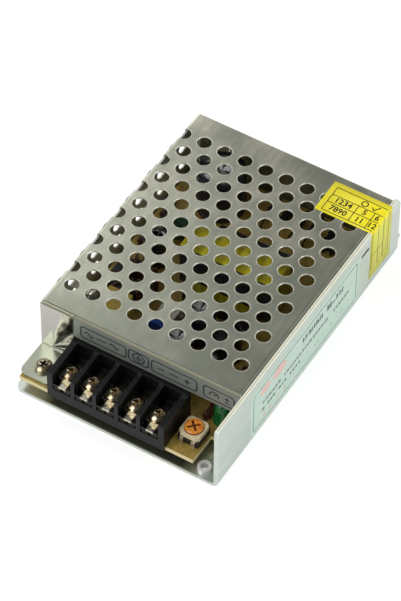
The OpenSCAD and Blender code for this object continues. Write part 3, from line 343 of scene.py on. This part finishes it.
satin = spread(tree, grain, 0.28, 0.38)
matt = add(tree, "Mix", {0: lip, 2: satin, 3: 0.5}, data_type="FLOAT").outputs[0]
mirror = add(tree, "Mix", {0: flap, 2: matt, 3: 0.12}, data_type="FLOAT").outputs[0]
wavy = add(tree, "Bump", {"Height": creased, "Distance": 0.00028, "Strength": 1.0})
fine = add(tree, "Bump", {"Height": grain, "Distance": 0.000003, "Strength": 1.0,
                          "Normal": wavy.outputs[0]})
# The cover's sharp edges get a painted highlight.
feed(shader, Base_Color=between(tree, edges(tree, 0.0002), body, linear(240, 240, 236)),
     Metallic=sums(tree, "MULTIPLY_ADD", painted_light_inner_face, -0.3, spread(tree, lip, 0.9, 0.6)),
     Roughness=mirror, Normal=fine.outputs[0])
dress("cover", cover_finish)


def grid_faces(rows, columns, around=False):
    """Quads of a grid of rows by columns of points; around joins the last row to the first."""
    row = np.arange(rows if around else rows - 1)[:, None]
    column = np.arange(columns - 1)[None, :]
    after = (row + 1) % rows
    corners = (row * columns + column, after * columns + column,
               after * columns + column + 1, row * columns + column + 1)
    return np.stack(np.broadcast_arrays(*corners), -1).reshape(-1, 4)


def copies(points, faces, places):
    """One shape repeated: every copy's points moved by its place, and its faces renumbered."""
    count = len(places)
    many = (points[None] + np.asarray(places)[:, None]).reshape(-1, 3)
    shift = (np.arange(count) * len(points))[:, None, None]
    return many, (faces[None] + shift).reshape(-1, faces.shape[1])


def joined(shapes):
    """Several (points, faces) as one."""
    start, points, faces = 0, [], []
    for some_points, some_faces in shapes:
        points.append(some_points)
        faces += [[int(corner) + start for corner in face] for face in some_faces]
        start += len(some_points)
    return np.vstack(points), faces


def piece(name, points, faces, finish, slot, body="supply", smooth=False):
    """A new piece from points in metres and faces, riding on a body."""
    mesh = bpy.data.meshes.new(name)
    mesh.from_pydata(np.asarray(points).tolist(), [], [list(map(int, face)) for face in faces])
    mesh.update()
    if smooth:
        mesh.shade_smooth()
    mesh.materials.append(finish)
    made = bpy.data.objects.new(name, mesh)
    scene.collection.objects.link(made)
    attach(made, body)
    return made


def rim(radius, profile, across, up, out, start=0.0, sweep=2 * np.pi, steps=20):
    """A bead round a hole: profile points (added radius, height) carried round an arc.

    A point is across * cos + up * sin times its radius, plus out times its height.
    """
    whole = sweep >= 2 * np.pi
    turn = start + sweep * np.arange(steps) / (steps if whole else steps - 1)
    ring = np.cos(turn)[:, None] * across + np.sin(turn)[:, None] * up
    points = (ring[:, None] * (radius + profile[:, 0])[None, :, None]
              + profile[:, 1][None, :, None] * out)
    return points.reshape(-1, 3), grid_faces(steps, len(profile), whole)


X, Y, Z = np.eye(3)
HOLE_D = 0.00475
HOLE_PITCH = 0.00735
FIRST_HOLE = 0.001
END_MARGIN = 0.009
SIDE_MARGIN = 0.0045
SHEET_T = 0.0012
WALL_GAP = 0.0003
FLANGE_BAND = 0.004
MOST_IN_ROW = 20

# Every other row starts on the fold. From there u runs across the top and down the side.
row_pitch = HOLE_PITCH * math.sin(math.pi / 3)
row_count = int((fold_rear - fold_front - 2 * END_MARGIN) / row_pitch) + 1
rows_y = (fold_front + fold_rear) / 2 + ((row_count - 1) / 2 - np.arange(row_count)) * row_pitch
first_u = np.where(np.arange(row_count) % 2, HOLE_PITCH / 2, 0.0)
all_u = first_u[:, None] + np.arange(MOST_IN_ROW)[None] * HOLE_PITCH
all_y = np.broadcast_to(rows_y[:, None], all_u.shape)
top_x = cover_low.x + FIRST_HOLE + all_u
side_z = top + FIRST_HOLE - all_u
on_fold = all_u == 0
on_top = (top_x < chassis_high.x - SHEET_T - WALL_GAP - SIDE_MARGIN) & ~on_fold
on_side = (side_z > SHEET_T + FLANGE_BAND + HOLE_D / 2) & ~on_fold
bead = np.array([(0.00028, 0.0), (0.00016, 0.00004), (0.0, 0.00003), (-0.00008, -0.00026)])
inner_bead = np.array([(0.0, 0.0), (-0.00012, -0.00008), (-0.00014, -0.00045)])
top_at = np.stack([top_x[on_top], all_y[on_top], np.full(on_top.sum(), top)], -1)
side_at = np.stack([np.full(on_side.sum(), cover_low.x), all_y[on_side], side_z[on_side]], -1)
fold_at = np.stack([top_x[on_fold], all_y[on_fold], np.full(on_fold.sum(), top)], -1)
rims = [copies(*rim(HOLE_D / 2, bead, X, Y, Z), top_at),
        copies(*rim(HOLE_D / 2, inner_bead, Z, Y, -X), side_at),
        copies(*rim(HOLE_D / 2, bead, X, Y, Z, -1.4, 2.8, 11), fold_at)]
rim_finish, tree, shader = new_finish("punched_rim", Metallic=1.0)
worn = mottle(tree, 900, 3)
feed(shader, Base_Color=between(tree, worn, linear(238, 238, 222), linear(206, 208, 190)),
     Roughness=spread(tree, worn, 0.42, 0.6))
piece("hole_rims", *joined(rims), rim_finish, "cover_steel", smooth=True)


# ---------------------------------------------------------------- terminal marks on the lip
# Dark blue-grey ink, stamped on the folded lip above each group of screws: a rounded
# frame with the plain signs for mains, earth, minus, plus and adjustment.
INK_WIDTH = 0.0005


def ribbon(line, width, closed=False):
    """A flat stroke: a line of (u, v) points widened along the mean normal of its sides."""
    line = np.asarray(line, float)
    if closed:
        before, after = np.roll(line, 1, 0), np.roll(line, -1, 0)
    else:
        before = np.vstack([2 * line[:1] - line[1:2], line[:-1]])
        after = np.vstack([line[1:], 2 * line[-1:] - line[-2:-1]])
    first = (line - before) / np.linalg.norm(line - before, axis=1, keepdims=True)
    second = (after - line) / np.linalg.norm(after - line, axis=1, keepdims=True)
    normal = (first + second)[:, ::-1] * (-1, 1)
    normal /= np.linalg.norm(normal, axis=1, keepdims=True)
    stretch = 1 / np.clip((normal * (first[:, ::-1] * (-1, 1))).sum(1, keepdims=True), 0.5, 1)
    half = normal * stretch * width / 2
    return np.stack([line - half, line + half], 1).reshape(-1, 2), grid_faces(len(line), 2, closed)


def round_frame(u0, u1, v0, v1, radius, steps=6):
    """The outline of a rectangle with rounded corners, as quarter turns round each corner."""
    turn = np.linspace(0, np.pi / 2, steps)
    corners = ((u1 - radius, v1 - radius), (u0 + radius, v1 - radius),
               (u0 + radius, v0 + radius), (u1 - radius, v0 + radius))
    return np.vstack([np.stack([u + radius * np.cos(turn + k * np.pi / 2),
                                v + radius * np.sin(turn + k * np.pi / 2)], -1)
                      for k, (u, v) in enumerate(corners)])


def arc(u, v, radius, start, end, steps=18):
    """Points round a centre from one angle to another, in degrees."""
    turn = np.radians(np.linspace(start, end, steps))
    return np.stack([u + radius * np.cos(turn), v + radius * np.sin(turn)], -1)


def wave(u, v, length, height, steps=15):
    """One period of a sine, the sign for alternating current."""
    s = np.linspace(0, 1, steps)
    return np.stack([u + length * (s - 0.5), v + height * np.sin(2 * np.pi * s)], -1)


def dash(u, v, half):
    """A level stroke, reaching half to each side of its centre."""
    return [(u - half, v), (u + half, v)]


def post(u, v, half):
    """An upright stroke, reaching half up and half down from its centre."""
    return [(u, v - half), (u, v + half)]


def on_plane(points, origin, across, up):
    """Flat (u, v) points laid on a plane in space."""
    return np.asarray(origin) + points[:, :1] * across + points[:, 1:] * up


lip_v0 = top - 0.0076
lip_v1 = top - 0.0027
mid_v = (lip_v0 + lip_v1) / 2
earth_u = -0.00105
dial_u = 0.0250
step_u = 0.0294
frames_u = ((-0.0212, -0.0054), (-0.0045, 0.0024), (0.0035, 0.0191), (0.0214, 0.0318))
strokes = [(round_frame(u0, u1, lip_v0, lip_v1, 0.0011), True) for u0, u1 in frames_u]
strokes += [(line, False) for line in (
    wave(-0.0183, mid_v, 0.0030, 0.0008),
    wave(-0.0096, mid_v, 0.0030, 0.0008),
    dash(-0.0140, mid_v, 0.0018),
    post(earth_u, mid_v + 0.00065, 0.00065),
    dash(earth_u, mid_v, 0.00125),
    dash(earth_u, mid_v - 0.0007, 0.00075),
    dash(0.0068, mid_v, 0.0011),
    dash(0.01115, mid_v, 0.00165),
    dash(0.0158, mid_v, 0.0011),
    post(0.0158, mid_v, 0.0011),
    arc(dial_u, mid_v - 0.0004, 0.0015, 200, -20),
    [(dial_u, mid_v - 0.0004), (dial_u + 0.0010, mid_v + 0.0008)],
    dash(step_u, mid_v + 0.0004, 0.0008),
    post(step_u, mid_v + 0.0004, 0.0008),
    dash(step_u, mid_v - 0.0011, 0.0008))]
strokes.append((arc(earth_u, mid_v, 0.0020, 0, 340), True))
flat, faces = joined([ribbon(line, INK_WIDTH, closed) for line, closed in strokes])
ink, tree, shader = new_finish("stamped_ink", Roughness=0.45)
feed(shader, Base_Color=between(tree, mottle(tree, 2500, 3), linear(26, 34, 42),
                                linear(52, 62, 70)))
piece("lip_marks", on_plane(flat, (0, fold_front - 0.00002, 0), X, Z), faces, ink, "cover_steel")


# ---------------------------------------------------------------- terminal block
# Black moulded plastic: low front skirt, five cells between thin walls, a rear wall. The
# mould's corners and the tops of the walls carry a painted highlight.
def moulded(name, colour, pale, rough, grain=1500, depth=0.000004, edge=None, radius=0.00015,
            **sockets):
    """Moulded or dipped stuff: two near shades in clouds, a fine skin, painted highlights on the
    edges.
    """
    finish, tree, shader = new_finish(name, **sockets)
    cloud = mottle(tree, grain, 3)
    body = between(tree, cloud, colour, pale)
    if edge:
        body = between(tree, edges(tree, radius), body, edge)
    feed(shader, Base_Color=body, Roughness=spread(tree, cloud, rough * 0.85, rough * 1.2))
    relief(tree, shader, mottle(tree, grain * 2.5, 2), depth)
    return finish


dress("terminal_block", moulded("black_moulding", linear(8, 10, 10), linear(15, 18, 18), 0.42,
                                edge=linear(64, 72, 74), radius=0.0002,
                                Specular_IOR_Level=0.35))


# ---------------------------------------------------------------- terminal metalwork
# Tinned brass strips with clamp washers and nickel-plated M3 screws, one to a cell. The
# plating mirrors the warm board and the dark cell walls. The strips are painted near-black,
# a painted shade, with a painted highlight on their fingers.
def plated(name, colour, warm, rough, grain=1200, keen=0.0002):
    """Plated metal: a warm tint in clouds over the plating, small scratches, painted highlights on
    the edges.
    """
    finish, tree, shader = new_finish(name)
    tint = mottle(tree, grain, 3)
    worn = mottle(tree, 5000, 2, (1, 0.3, 1))
    edge = edges(tree, keen)
    body = between(tree, tint, colour, warm)
    feed(shader, Base_Color=between(tree, edge, body, linear(244, 238, 220)),
         Metallic=spread(tree, edge, 1.0, 0.55),
         Roughness=spread(tree, worn, rough * 0.7, rough * 1.4))
    relief(tree, shader, worn, 0.000005)
    return finish


nickel = plated("nickel_washer", linear(134, 130, 114), linear(106, 96, 72), 0.2, grain=400)
screw_nickel = plated("nickel_screw", linear(180, 172, 148), linear(128, 106, 66), 0.18, grain=500)
# The strips are painted near-black, a painted shade.
strip = plated("tinned_brass", linear(58, 55, 48), linear(40, 37, 31), 0.12, keen=0.00004)
screw_low, screw_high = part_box("terminal_screw_1")
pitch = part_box("terminal_screw_2")[0].x - screw_low.x
row_x, row_y, _ = (screw_low + screw_high) / 2


def tinted(finish, share, colour):
    """Lays one more colour over a finish, by a share from 0 to 1."""
    tree = finish.node_tree
    colour_in = tree.nodes["Principled BSDF"].inputs["Base Color"]
    tree.links.new(between(tree, share, colour_in.links[0].from_socket, colour), colour_in)


def in_recess(tree, aside, beside, height, head_top):
    """1 in a cross recess: aside^2 + beside^2 < reach^2, at most half the depth off its middle."""
    reach = 0.00165
    middle = head_top - 0.00096
    half_depth = 0.0006
    square = sums(tree, "MULTIPLY_ADD", aside, aside, sums(tree, "MULTIPLY", beside, beside))
    return all_of(tree, sums(tree, "LESS_THAN", square, reach ** 2),
                  sums(tree, "COMPARE", height, middle, half_depth))


# The recesses of the terminal screws are painted darker and warmer, a painted shade.
tree = screw_nickel.node_tree
at_x, at_y, at_z = position(tree)
aside = sums(tree, "PINGPONG", sums(tree, "SUBTRACT", at_x, row_x), pitch / 2)
beside = sums(tree, "SUBTRACT", at_y, row_y)
tinted(screw_nickel, in_recess(tree, aside, beside, at_z, screw_high.z), linear(134, 112, 68))

# The strips' upright fingers carry a painted highlight in front of the screws and above the seat.
tree = strip.node_tree
at_x, at_y, at_z = position(tree)
aside = sums(tree, "PINGPONG", sums(tree, "SUBTRACT", at_x, row_x), pitch / 2)
clamped = ramp(tree, aside, 0.0014, 0.0010)
above_seat = sums(tree, "GREATER_THAN", at_z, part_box("terminal_plates")[1].z - 0.0009)
in_front = sums(tree, "LESS_THAN", at_y, screw_low.y)
tinted(strip, all_of(tree, clamped, in_front, above_seat), linear(232, 226, 206))
dress("terminal_plates", strip)
for number in range(1, 6):
    dress(f"clamp_washer_{number}", nickel)
    dress(f"terminal_screw_{number}", screw_nickel)


# ---------------------------------------------------------------- screws and stand-offs
# Nickel-plated M3 screws in the cover's feet, under the board and through the power
# devices, and zinc-plated steel stand-offs riveted into the base.
bright_screw = plated("bright_screw", linear(212, 206, 182), linear(158, 144, 110), 0.22, grain=500)
for node in ("board_screws", "power_screws"):
    dress(node, bright_screw)
foot_screw = plated("foot_screw", linear(206, 200, 176), linear(160, 148, 116), 0.24, grain=500)

# The two heads fill the ends of their box: aside is |y - middle| less their distance from it.
HEAD_R = 0.0028
foot_low, foot_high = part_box("cover_screws")
middle = (foot_low + foot_high) / 2
tree = foot_screw.node_tree
at_x, at_y, at_z = position(tree)
from_middle = sums(tree, "ABSOLUTE", sums(tree, "SUBTRACT", at_y, middle.y))
aside = sums(tree, "SUBTRACT", from_middle, (foot_high.y - foot_low.y) / 2 - HEAD_R)
beside = sums(tree, "SUBTRACT", at_x, middle.x)
# The recesses of the foot screws are painted dark brown, a painted shade.
tinted(foot_screw, in_recess(tree, aside, beside, at_z, foot_high.z), linear(66, 56, 36))
dress("cover_screws", foot_screw)
dress("board_standoffs", plated("zinc_plate", linear(232, 232, 230), linear(212, 214, 212), 0.45))


# ---------------------------------------------------------------- circuit board
# Tan paper laminate, 1.6 mm thick, screwed down on the stand-offs. Its sawn edge is cream
# and shows the layers.
laminate, tree, shader = new_finish("paper_laminate", Roughness=0.42)
shade = mottle(tree, 420, 5)
speck = mottle(tree, 3800, 2)
face_colour = between(tree, shade, linear(192, 164, 82), linear(158, 130, 54))
face_colour = between(tree, spread(tree, speck, 0, 0.35), face_colour, linear(146, 118, 58))
layers = add(tree, "TexWave", {"Vector": add(tree, "TexCoord").outputs["Object"],
                               "Scale": 900.0, "Distortion": 1.5, "Detail": 2.0},
             bands_direction="Z")
edge_colour = between(tree, layers.outputs["Fac"], linear(244, 232, 184), linear(224, 206, 146))
slope = add(tree, "SeparateXYZ", {0: add(tree, "NewGeometry").outputs["Normal"]})
upright = ramp(tree, sums(tree, "ABSOLUTE", slope.outputs["Z"]), 0.9, 0.3)
feed(shader, Base_Color=between(tree, upright, face_colour, edge_colour))
relief(tree, shader, speck, 0.00001)
dress("circuit_board", laminate)


# ---------------------------------------------------------------- insulating sheet
# Milky polyester film, laid on the base under the board and turned up inside the wall. It
# is punched for the stand-offs.
dress("insulating_sheet", moulded("milky_film", linear(214, 219, 212), linear(196, 204, 196), 0.3,
                                  grain=300))


# ---------------------------------------------------------------- trimmer and lamp
# A small preset: black base with two tinned legs, an ivory cap and an orange rotor whose
# cross slot is painted dark, a painted shade. Base and cap carry painted highlights on
# their edges. The green lamp stands behind it.
dress("trimmer_base", moulded("trimmer_black", linear(20, 20, 22), linear(32, 32, 35), 0.35,
                              edge=linear(74, 74, 78)))
dress("trimmer_cap", moulded("trimmer_ivory", linear(240, 226, 186), linear(222, 204, 160), 0.5,
                             edge=linear(246, 240, 224)))
leads = plated("tinned_lead", linear(222, 222, 218), linear(196, 196, 190), 0.22)
dress("trimmer_legs", leads)
rotor_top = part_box("trimmer_rotor")[1].z
orange, tree, shader = new_finish("rotor_orange", Roughness=0.32, Specular_IOR_Level=0.6)
in_slot = ramp(tree, position(tree)["Z"], rotor_top - 0.00035, rotor_top - 0.0006)
body = between(tree, mottle(tree, 900, 3), linear(255, 172, 62), linear(222, 116, 28))
feed(shader, Base_Color=between(tree, in_slot, body, linear(112, 44, 14)))
relief(tree, shader, mottle(tree, 3000, 2), 0.000008)
dress("trimmer_rotor", orange)
dress("indicator_lamp", moulded("lamp_green", linear(24, 128, 56), linear(14, 88, 38), 0.16,
                                Transmission_Weight=0.35, IOR=1.5))


# ---------------------------------------------------------------- transformer
# A wound bobbin in a ferrite core, wrapped in yellow polyester tape, with a tape belt
# round the core.
# The core and the bobbin carry painted highlights on their edges.
dress("transformer_core", moulded("ferrite", linear(44, 44, 46), linear(58, 58, 60), 0.5,
                                  edge=linear(96, 96, 98)))
dress("transformer_bobbin", moulded("bobbin_black", linear(20, 20, 20), linear(32, 32, 32), 0.4,
                                    edge=linear(70, 70, 70)))


def tape_finish(name, colour, deep_colour):
    """Wound tape: faint laps along the winding and a glossy skin."""
    finish, tree, shader = new_finish(name, Roughness=0.24, Coat_Weight=0.3)
    laps = add(tree, "TexWave", {"Vector": add(tree, "TexCoord").outputs["Object"],
                                 "Scale": 120.0, "Distortion": 2.5, "Detail": 2.0})
    creases = mottle(tree, 320, 4)
    body = between(tree, creases, colour, deep_colour)
    body = between(tree, spread(tree, laps.outputs["Fac"], 0, 0.3), body, linear(120, 104, 16))
    feed(shader, Base_Color=body)
    relief(tree, shader, creases, 0.00012)
    return finish


dress("transformer_winding", tape_finish("yellow_tape", linear(206, 196, 48), linear(170, 160, 30)))
dress("transformer_belt", tape_finish("yellow_belt", linear(212, 202, 54), linear(178, 166, 34)))


# ---------------------------------------------------------------- capacitors
# Aluminium cans in shrunk dark sleeves, open at the top over a disc scored as a vent. They
# stand on the board, soldered by their leads.
def islands(node):
    """The low and high corners of each separate solid of a node.

    Each point takes the lowest number among the points it shares an edge with, until none
    changes. Points with one number are one solid.
    """
    solid = frame["nodes"][node].data
    points = np.zeros(len(solid.vertices) * 3)
    solid.vertices.foreach_get("co", points)
    points = points.reshape(-1, 3)
    _, same = np.unique(points.round(6), axis=0, return_inverse=True)
    same = same.reshape(-1)
    edge = np.zeros(len(solid.edges) * 2, int)
    solid.edges.foreach_get("vertices", edge)
    a, b = same[edge].reshape(-1, 2).T
    group = np.arange(same.max() + 1)
    while True:
        low = np.minimum(group[a], group[b])
        newer = group.copy()
        np.minimum.at(newer, a, low)
        np.minimum.at(newer, b, low)
        newer = newer[newer]
        if (newer == group).all():
            break
        group = newer
    kinds = group[same]
    return [(points[kinds == k].min(0), points[kinds == k].max(0)) for k in np.unique(kinds)]


can_nodes = ("bulk_capacitor", "output_capacitors", "small_capacitors")
sleeve = moulded("shrunk_sleeve", linear(26, 28, 34), linear(40, 42, 50), 0.28, grain=600)
for node in can_nodes:
    dress(node, sleeve)
dress("output_choke", moulded("choke_sleeve", linear(18, 18, 20), linear(30, 30, 32), 0.3))

can_metal, tree, shader = new_finish("can_aluminium", Metallic=1.0)
grain = mottle(tree, 1600, 3)
feed(shader, Base_Color=between(tree, grain, linear(232, 234, 232), linear(204, 208, 206)),
     Roughness=spread(tree, grain, 0.28, 0.45))
relief(tree, shader, grain, 0.00001)


def can_top(low, high, steps=36):
    """A disc in the sleeve's mouth with a raised border and a scored cross.

    Radii and levels are shares of the outer radius. The height is a level that rises at
    the border, less 0.2 mm in four grooves.
    """
    centre = (low + high) / 2
    outer = (high[0] - low[0]) / 2
    radius = np.array([0.03, 0.3, 0.62, 0.8, 0.86, 0.9]) * outer
    level = np.array([0.0, 0.0, 0.0, 0.02, 0.08, 0.02]) * outer * 0.4
    turn = np.arange(steps) * 2 * np.pi / steps
    groove = (np.arange(steps) % (steps // 4) == 0)[:, None] * (radius < 0.7 * outer)[None]
    z = high[2] - 0.03 * (high[0] - low[0]) + level[None] - groove * 0.0002
    points = np.stack([centre[0] + np.cos(turn)[:, None] * radius,
                       centre[1] + np.sin(turn)[:, None] * radius, z], -1).reshape(-1, 3)
    return points, grid_faces(steps, len(radius), True)


WIDEST_LEAD = 0.004
tops = [can_top(low, high) for node in can_nodes
        for low, high in islands(node) if high[0] - low[0] > WIDEST_LEAD]
piece("can_tops", *joined(tops), can_metal, "tinned_lead", smooth=True)


# ---------------------------------------------------------------- small parts on the board
# Filter ring, fuse, thermistor, film and disc capacitors, diodes, resistors and chips,
# each in the coating that such a part has.
dress("filter_ring", moulded("ring_coating", linear(30, 32, 32), linear(44, 46, 46), 0.42))
dress("filter_windings", moulded("enamelled_wire", linear(84, 46, 24), linear(58, 30, 16), 0.3))
glass, tree, shader = new_finish("fuse_glass", Transmission_Weight=0.9, IOR=1.45, Roughness=0.06)
feed(shader, Base_Color=between(tree, mottle(tree, 400, 2), linear(232, 240, 236),
                                linear(216, 228, 222)))
dress("fuse_tube", glass)
dress("fuse_caps", plated("nickel_cap", linear(226, 222, 208), linear(200, 194, 172), 0.2))
dress("thermistor", moulded("green_dip", linear(34, 74, 50), linear(24, 58, 38), 0.4))
# The film capacitor's case carries painted highlights on its edges.
dress("mains_film_capacitor", moulded("yellow_case", linear(196, 172, 70), linear(178, 152, 56),
                                      0.34, edge=linear(222, 204, 120)))
dress("safety_capacitor", moulded("blue_dip", linear(34, 72, 150), linear(26, 56, 122), 0.32))
# The black epoxy parts carry painted highlights on their edges.
epoxy = moulded("black_epoxy", linear(26, 26, 28), linear(38, 38, 41), 0.5, edge=linear(72, 72, 76))
for node in ("rectifier_diodes", "controller_chip", "shunt_regulator", "power_transistor",
             "output_rectifier"):
    dress(node, epoxy)
dress("optocoupler", moulded("pale_epoxy", linear(222, 218, 204), linear(204, 200, 186), 0.5))
dress("resistors", moulded("brown_lacquer", linear(84, 44, 34), linear(56, 28, 22), 0.35))
dress("power_resistor", moulded("grey_lacquer", linear(120, 134, 150), linear(102, 116, 132), 0.4))
dress("heat_pads", moulded("pad_silicone", linear(140, 148, 160), linear(120, 130, 142), 0.6))


# ---------------------------------------------------------------- rating label
# Printed polyester film stuck on the wall: silver-green, with a thin grey frame, rows of
# plain dark marks and two plain pale red fields. It carries no words.
FILM = 0.00004
INK = 0.00001
LABEL_R = 0.0015
label_low, label_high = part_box("rating_label")


def thin_sheet(outline, origin, across, up, depth):
    """A sheet with a given outline: its front, its back a depth behind, and its edge."""
    out = np.cross(across, up)
    n = len(outline)
    front = on_plane(outline, origin, across, up)
    here = np.arange(n)
    there = (here + 1) % n
    rim_faces = np.stack([here + n, there + n, there, here], -1).tolist()
    return (np.vstack([front, front - depth * out]),
            [here.tolist(), (here[::-1] + n).tolist()] + rim_faces)


def bars(u, v, width, height):
    """Upright rectangles: four corners round each centre, for arrays of centres and sizes."""
    corner = np.array([(-0.5, -0.5), (0.5, -0.5), (0.5, 0.5), (-0.5, 0.5)])
    centre = np.stack(np.broadcast_arrays(u, v), -1)[:, None]
    size = np.stack(np.broadcast_arrays(width, height), -1)[:, None]
    return (centre + corner * size).reshape(-1, 2), np.arange(4 * len(centre)).reshape(-1, 4)


def mark_row(chance, start, end, v, height, longest, gap, skip=0.15):
    """A row of bars of uneven lengths and gaps, with some left out as spaces."""
    length = chance.uniform(0.35, 1.0, 80) * longest
    space = chance.uniform(0.6, 1.4, 80) * gap
    u = start + np.cumsum(length + space) - length / 2
    kept = (u + length / 2 < end) & (chance.random(80) > skip)
    return bars(u[kept], v, length[kept], height * chance.uniform(0.8, 1.0, kept.sum()))


film, tree, shader = new_finish("label_film", Metallic=0.2, Roughness=0.36)
feed(shader, Base_Color=between(tree, mottle(tree, 500, 3), linear(206, 228, 214),
                                linear(196, 220, 205)))
relief(tree, shader, mottle(tree, 900, 2), 0.000006)
label_back = np.array([chassis_high.x, 0, 0])
label_outline = round_frame(label_low.y, label_high.y, label_low.z, label_high.z, LABEL_R)
sheet = piece("label_sheet", *thin_sheet(label_outline, label_back + X * FILM, Y, Z, FILM),
              film, "label_film")
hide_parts("rating_label")

# The rows of marks are at heights over the label's foot.
chance = np.random.default_rng(11)
inner = round_frame(label_low.y + 0.0018, label_high.y - 0.0018,
                    label_low.z + 0.0014, label_high.z - 0.0018, 0.0008)
print_plane = (label_back + X * (FILM + INK), Y, Z)
foot_z = label_low.z
grey_marks = [ribbon(inner, 0.00034, True),
              mark_row(chance, -0.0085, 0.0175, foot_z + 0.0148, 0.0025, 0.0017, 0.0006, 0.10),
              mark_row(chance, -0.0085, 0.0175, foot_z + 0.0142, 0.0009, 0.0019, 0.0009, 0.3),
              mark_row(chance, -0.0318, 0.0210, foot_z + 0.0098, 0.0013, 0.0015, 0.0005, 0.12),
              mark_row(chance, -0.0318, -0.0080, foot_z + 0.0068, 0.0013, 0.0015, 0.0005, 0.12)]
faint_marks = [mark_row(chance, -0.0030, 0.0175, foot_z + 0.0046, 0.0009, 0.0012, 0.0007, 0.3),
               mark_row(chance, -0.0340, 0.0230, foot_z + 0.0176, 0.0004, 0.0009, 0.0007)]
red_marks = []
for u, wide, high in ((-0.0215, 0.0082, 0.0042), (-0.0296, 0.0062, 0.0034)):
    points = arc(0, 0, 0.5, 0, 345, 24) * (wide, high) + (u, foot_z + 0.0153)
    red_marks.append((points, [range(24)]))
red_marks.append(mark_row(chance, -0.0330, -0.0150, foot_z + 0.0034, 0.0012, 0.0019, 0.0026))


def print_ink(name, colour, pale):
    """Thin screen-printed ink, a little uneven."""
    finish, tree, shader = new_finish(name, Roughness=0.5)
    feed(shader, Base_Color=between(tree, mottle(tree, 3000, 3), colour, pale))
    return finish


for name, marks, finish in (
        ("label_marks_grey", grey_marks, print_ink("print_grey", linear(88, 106, 100),
                                                   linear(126, 144, 136))),
        ("label_marks_faint", faint_marks, print_ink("print_faint", linear(158, 176, 166),
                                                     linear(178, 198, 186))),
        ("label_marks_red", red_marks, print_ink("print_red", linear(232, 188, 178),
                                                 linear(220, 190, 178)))):
    flat, faces = joined(marks)
    piece(name, on_plane(flat, *print_plane), faces, finish, "label_film")


# ---------------------------------------------------------------- inspection sticker
# Yellow paper stuck over the top edge, printed with a grid and the plain numbers 1 to 12.
# On the wall it is stretched thin, and paler.
FOLD_R = 0.00013
sticker_low, sticker_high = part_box("inspection_sticker")
sticker_top = cover_high.z + FILM
sticker_side = chassis_high.x + FILM
flat_end = sticker_side - FOLD_R
quarter = FOLD_R * math.pi / 2


def over_edge(s, y, lift=0.0):
    """Points on the folded paper: s runs along the top to 0, round a quarter turn of
    radius FOLD_R, and down the wall."""
    s, y = np.broadcast_arrays(s, y)
    turn = np.clip(s, 0, quarter) / FOLD_R
    down = np.clip(s - quarter, 0, None)
    radius = FOLD_R + lift
    x = flat_end + np.minimum(s, 0) + radius * np.sin(turn)
    z = sticker_top - FOLD_R + radius * np.cos(turn) - down
    return np.stack([x, y, z], -1)


paper, tree, shader = new_finish("yellow_sticker", Roughness=0.42)
on_wall = ramp(tree, position(tree)["Z"], sticker_high.z - 0.0004, sticker_high.z - 0.0030)
fibre = mottle(tree, 1400, 3)
stretched = mottle(tree, 520, 3, (1, 1, 0.12))
bright = between(tree, fibre, linear(254, 240, 24), linear(246, 230, 14))
thin = between(tree, stretched, linear(232, 230, 92), linear(214, 212, 58))
feed(shader, Base_Color=between(tree, on_wall, bright, thin))
relief(tree, shader, fibre, 0.000008)
s = np.concatenate([[sticker_low.x - flat_end, -0.004], np.linspace(0, quarter, 6),
                    [0.005, sticker_top - sticker_low.z]])
y = np.linspace(sticker_low.y, sticker_high.y, 5)
points = over_edge(s[:, None], y[None]).reshape(-1, 3)
sticker = piece("sticker_paper", points, grid_faces(len(s), len(y)), paper,
                "label_film", smooth=True)
thick = sticker.modifiers.new("thickness", "SOLIDIFY")
thick.thickness = FILM * 0.9
thick.offset = -1
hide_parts("inspection_sticker")

left_s = sticker_low.x - flat_end
line_y = sticker_low.y + np.array([0.0010, 0.0047, 0.0079, 0.0111])
line_s = left_s + np.array([0.0019, 0.0112, 0.0169])
wall_s = 0.0116
GRID_WIDTH = 0.00028
SIGN_WIDTH = 0.0004
head_s = left_s + 0.0140
head_y = (line_y[2] + line_y[3]) / 2

# The lines along s are cut in 0.8 mm steps, so that they bend over the edge.
printed = [ribbon([(line_s[0] + step, y) for step in np.arange(46) * 0.0008], GRID_WIDTH)
           for y in line_y]
printed += [ribbon([(s, line_y[0]), (s, last)], GRID_WIDTH)
            for s, last in zip(line_s, (line_y[3], line_y[2], line_y[2]))]
printed += [ribbon([(wall_s, line_y[0]), (wall_s, line_y[2])], 0.00024),
            ribbon(arc(head_s - 0.0016, head_y, 0.0010, 0, 345), SIGN_WIDTH, True),
            ribbon([(head_s + 0.0010, head_y), (head_s + 0.0019, head_y - 0.0009),
                    (head_s + 0.0034, head_y + 0.0011)], SIGN_WIDTH)]


def numeral(text, size):
    """A plain number as flat triangles, centred on the origin."""
    curve = bpy.data.curves.new("numeral", "FONT")
    curve.body = text
    curve.size = size
    curve.resolution_u = 2
    curve.offset = 0.00008
    curve.align_x = "CENTER"
    curve.align_y = "CENTER"
    made = bpy.data.objects.new("numeral", curve)
    scene.collection.objects.link(made)
    mesh = made.evaluated_get(bpy.context.evaluated_depsgraph_get()).to_mesh()
    points = np.zeros(len(mesh.vertices) * 3)
    mesh.vertices.foreach_get("co", points)
    faces = [list(face.vertices) for face in mesh.polygons]
    bpy.data.objects.remove(made)
    bpy.data.curves.remove(curve)
    return points.reshape(-1, 3)[:, :2], faces


for y, texts in ((0.0063, ("1234", "5", "6")), (0.0028, ("7890", "11", "12"))):
    for text, s in zip(texts, (0.0066, 0.0140, 0.0184)):
        shape, triangles = numeral(text, 0.0030)
        printed.append((shape + (left_s + s, sticker_low.y + y), triangles))
flat, faces = joined(printed)
piece("sticker_print", over_edge(flat[:, 0], flat[:, 1], INK), faces,
      print_ink("print_black", linear(34, 32, 16), linear(62, 58, 22)), "label_film")
